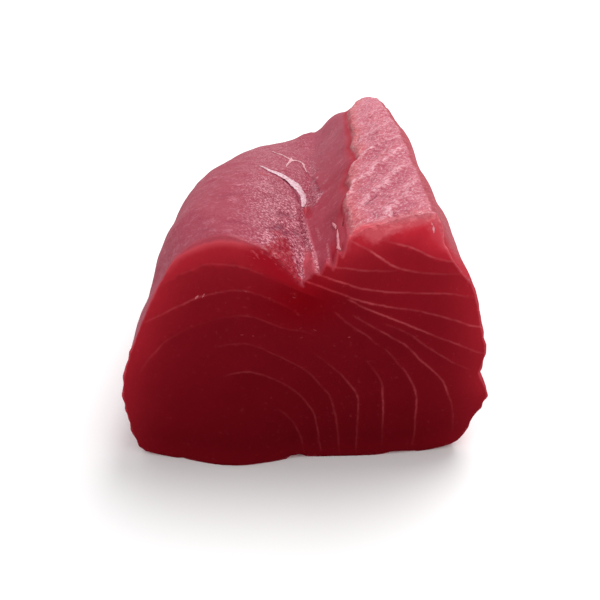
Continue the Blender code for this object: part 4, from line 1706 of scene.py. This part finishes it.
@dataclass(frozen=True)
class Membranes:
    """The loose thin pieces: the fascia's strip and forked thread, the notch's scraps and the slivers."""

    strip: Ribbon = Ribbon(
        route=(
            (-18.4, 0.2, 0.5), (-16.8, -1.3, 1.1), (-13.9, -4.1, 2.1), (-11.5, -4.9, 2.7), (-9.1, -5.8, 3.3),
            (-6.7, -6.9, 4.0), (-4.7, -8.5, 4.5), (-2.9, -10.2, 4.5), (-1.5, -12.4, 3.8), (-0.7, -15.2, 3.0),
            (-0.6, -18.9, 2.4), (-0.9, -22.5, 1.7), (-1.2, -25.0, 0.6),
        ),
        thickness=0.5,
        lift=0.2,
        sides=14,
    )
    threads: tuple[Ribbon, ...] = (
        Ribbon(
            route=(
                (-14.6, 39.0, 0.5), (-10.8, 31.5, 1.0), (-7.6, 25.6, 1.3), (-5.6, 22.6, 2.0),
                (-4.3, 23.4, 1.6), (-2.2, 23.8, 1.3), (-0.5, 21.6, 1.2), (-0.1, 17.2, 0.8),
                (1.0, 11.5, 0.4),
            ),
            thickness=0.5,
            lift=0.12,
        ),
        Ribbon(
            route=((-5.6, 23.4, 1.7), (-6.3, 19.7, 1.3), (-7.2, 13.0, 0.9), (-7.7, 8.5, 0.4)),
            thickness=0.4,
            lift=0.1,
        ),
        Ribbon(route=((-5.8, 22.0, 1.7), (-5.7, 25.5, 1.0), (-5.9, 29.0, 0.4)), thickness=0.4, lift=0.1),
    )
    scraps: tuple[Ribbon, ...] = (
        Ribbon(
            route=((9.0, -59.2, 0.4), (9.4, -61.0, 1.1), (9.8, -63.0, 1.0), (9.9, -65.2, 0.4)),
            thickness=0.6,
            lift=0.2,
        ),
        Ribbon(
            route=(
                (10.3, -67.0, 0.4), (10.2, -69.6, 0.8), (10.1, -73.0, 1.2), (10.1, -77.0, 1.1),
                (9.9, -80.0, 1.3), (10.2, -81.6, 0.8), (10.4, -82.2, 0.4),
            ),
            thickness=0.7,
            lift=0.2,
        ),
    )

    def build(self, ground: Ground) -> list[bpy.types.Object]:
        """Makes the membranes' objects.

        Args:
            ground: What they lie on.

        Returns:
            The objects.
        """
        pieces = [
            ("fascia_strip", (self.strip,), Membrane()),
            ("fascia_threads", self.threads, Membrane((0.72, 0.40, 0.44), (0.50, 0.17, 0.20))),
            ("loose_scraps", self.scraps, Membrane((0.62, 0.24, 0.28), (0.52, 0.12, 0.15))),
        ]
        for name, slivers, finish in SLIVER_PIECES:
            pieces.append((name, [sliver.ribbon() for sliver in slivers], finish))
        return [self._piece(name, ribbons, ground, finish) for name, ribbons, finish in pieces]

    @staticmethod
    def _piece(name: str, ribbons: Iterable[Ribbon], ground: Ground, finish: Membrane) -> bpy.types.Object:
        """Makes one object of some ribbons.

        Args:
            name: The object's name.
            ribbons: Its strands.
            ground: What they lie on.
            finish: How they look.

        Returns:
            The object.
        """
        bm = bmesh.new()
        for ribbon in ribbons:
            ribbon.add_to(bm, ground)
        return finished(bm, name, finish.material(name))


def finished(bm: bmesh.types.BMesh, name: str, material: bpy.types.Material) -> bpy.types.Object:
    """Turns a working mesh in millimetres into a finished piece that rides on the block.

    Args:
        bm: The working mesh, which is freed.
        name: The piece's name.
        material: Its finish.

    Returns:
        The object.
    """
    bmesh.ops.recalc_face_normals(bm, faces=bm.faces)
    bmesh.ops.scale(bm, vec=(MM, MM, MM), verts=bm.verts)
    mesh = bpy.data.meshes.new(name)
    bm.to_mesh(mesh)
    bm.free()
    mesh.shade_smooth()
    mesh.materials.append(material)
    obj = bpy.data.objects.new(name, mesh)
    bpy.context.scene.collection.objects.link(obj)
    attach(obj, BODY)
    return obj


@dataclass
class Studio:
    """The floor, the lights and the camera."""

    floor_side: float = 12.0
    floor_colour: Colour = (0.93, 0.93, 0.93)
    sky: float = 0.85
    key_power: float = 26.0
    key_size: float = 1.2
    key_place: tuple[float, float, float] = (0.6, 0.6, 1.8)
    # The camera, from the middle of the block's near side, in metres
    camera_side_step: float = -0.0019
    camera_stand_off: float = 0.184
    camera_height: float = 0.1745
    camera_pitch: float = 30.0
    lens: float = 42.0

    def build(self) -> None:
        """Makes all of it."""
        self._floor()
        self._lights()
        self._camera()
        bpy.context.scene.view_settings.view_transform = "Standard"

    def _floor(self) -> None:
        """The plain pale floor."""
        bm = bmesh.new()
        bmesh.ops.create_grid(bm, x_segments=1, y_segments=1, size=self.floor_side / 2)
        mesh = bpy.data.meshes.new("floor")
        bm.to_mesh(mesh)
        bm.free()
        graph = Graph("pale_floor")
        finish = graph.finish(Base_Color=self.floor_colour, Roughness=0.9, Specular_IOR_Level=0.0)
        mesh.materials.append(finish)
        floor = bpy.data.objects.new("floor", mesh)
        bpy.context.scene.collection.objects.link(floor)

    def _lights(self) -> None:
        """A plain pale sky and one large soft lamp overhead."""
        world = bpy.data.worlds.new("sky")
        world.use_nodes = True
        background = world.node_tree.nodes["Background"]
        background.inputs["Color"].default_value = (1.0, 1.0, 1.0, 1.0)
        background.inputs["Strength"].default_value = self.sky
        bpy.context.scene.world = world
        lamp = bpy.data.lights.new("key", "AREA")
        lamp.shape = "DISK"
        lamp.size = self.key_size
        lamp.energy = self.key_power
        key = bpy.data.objects.new("key", lamp)
        key.location = self.key_place
        key.rotation_euler = (-key.location).to_track_quat("-Z", "Y").to_euler()
        bpy.context.scene.collection.objects.link(key)

    def _camera(self) -> None:
        """The camera, looking along the block and down at its near face."""
        low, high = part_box(NODE)
        data = bpy.data.cameras.new("camera")
        data.lens = self.lens
        data.sensor_width = 36.0
        data.clip_start = 0.01
        camera = bpy.data.objects.new("camera", data)
        middle = (low[0] + high[0]) / 2
        camera.location = (middle + self.camera_side_step, low[1] - self.camera_stand_off, self.camera_height)
        camera.rotation_euler = (math.radians(90.0 - self.camera_pitch), 0.0, 0.0)
        bpy.context.scene.collection.objects.link(camera)
        bpy.context.scene.camera = camera


def main() -> None:
    """Builds the pieces in order and reports each."""
    logging.basicConfig(level=logging.INFO, format="%(message)s")
    log = logging.getLogger("loin")
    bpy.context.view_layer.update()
    Studio().build()
    log.info("studio done")
    block = Block().build()
    log.info("flesh block: %d faces", len(block.data.polygons))
    ground = Ground(block)
    for piece in Membranes().build(ground):
        log.info("%s: %d faces", piece.name, len(piece.data.polygons))


if __name__ == "__main__":
    main()
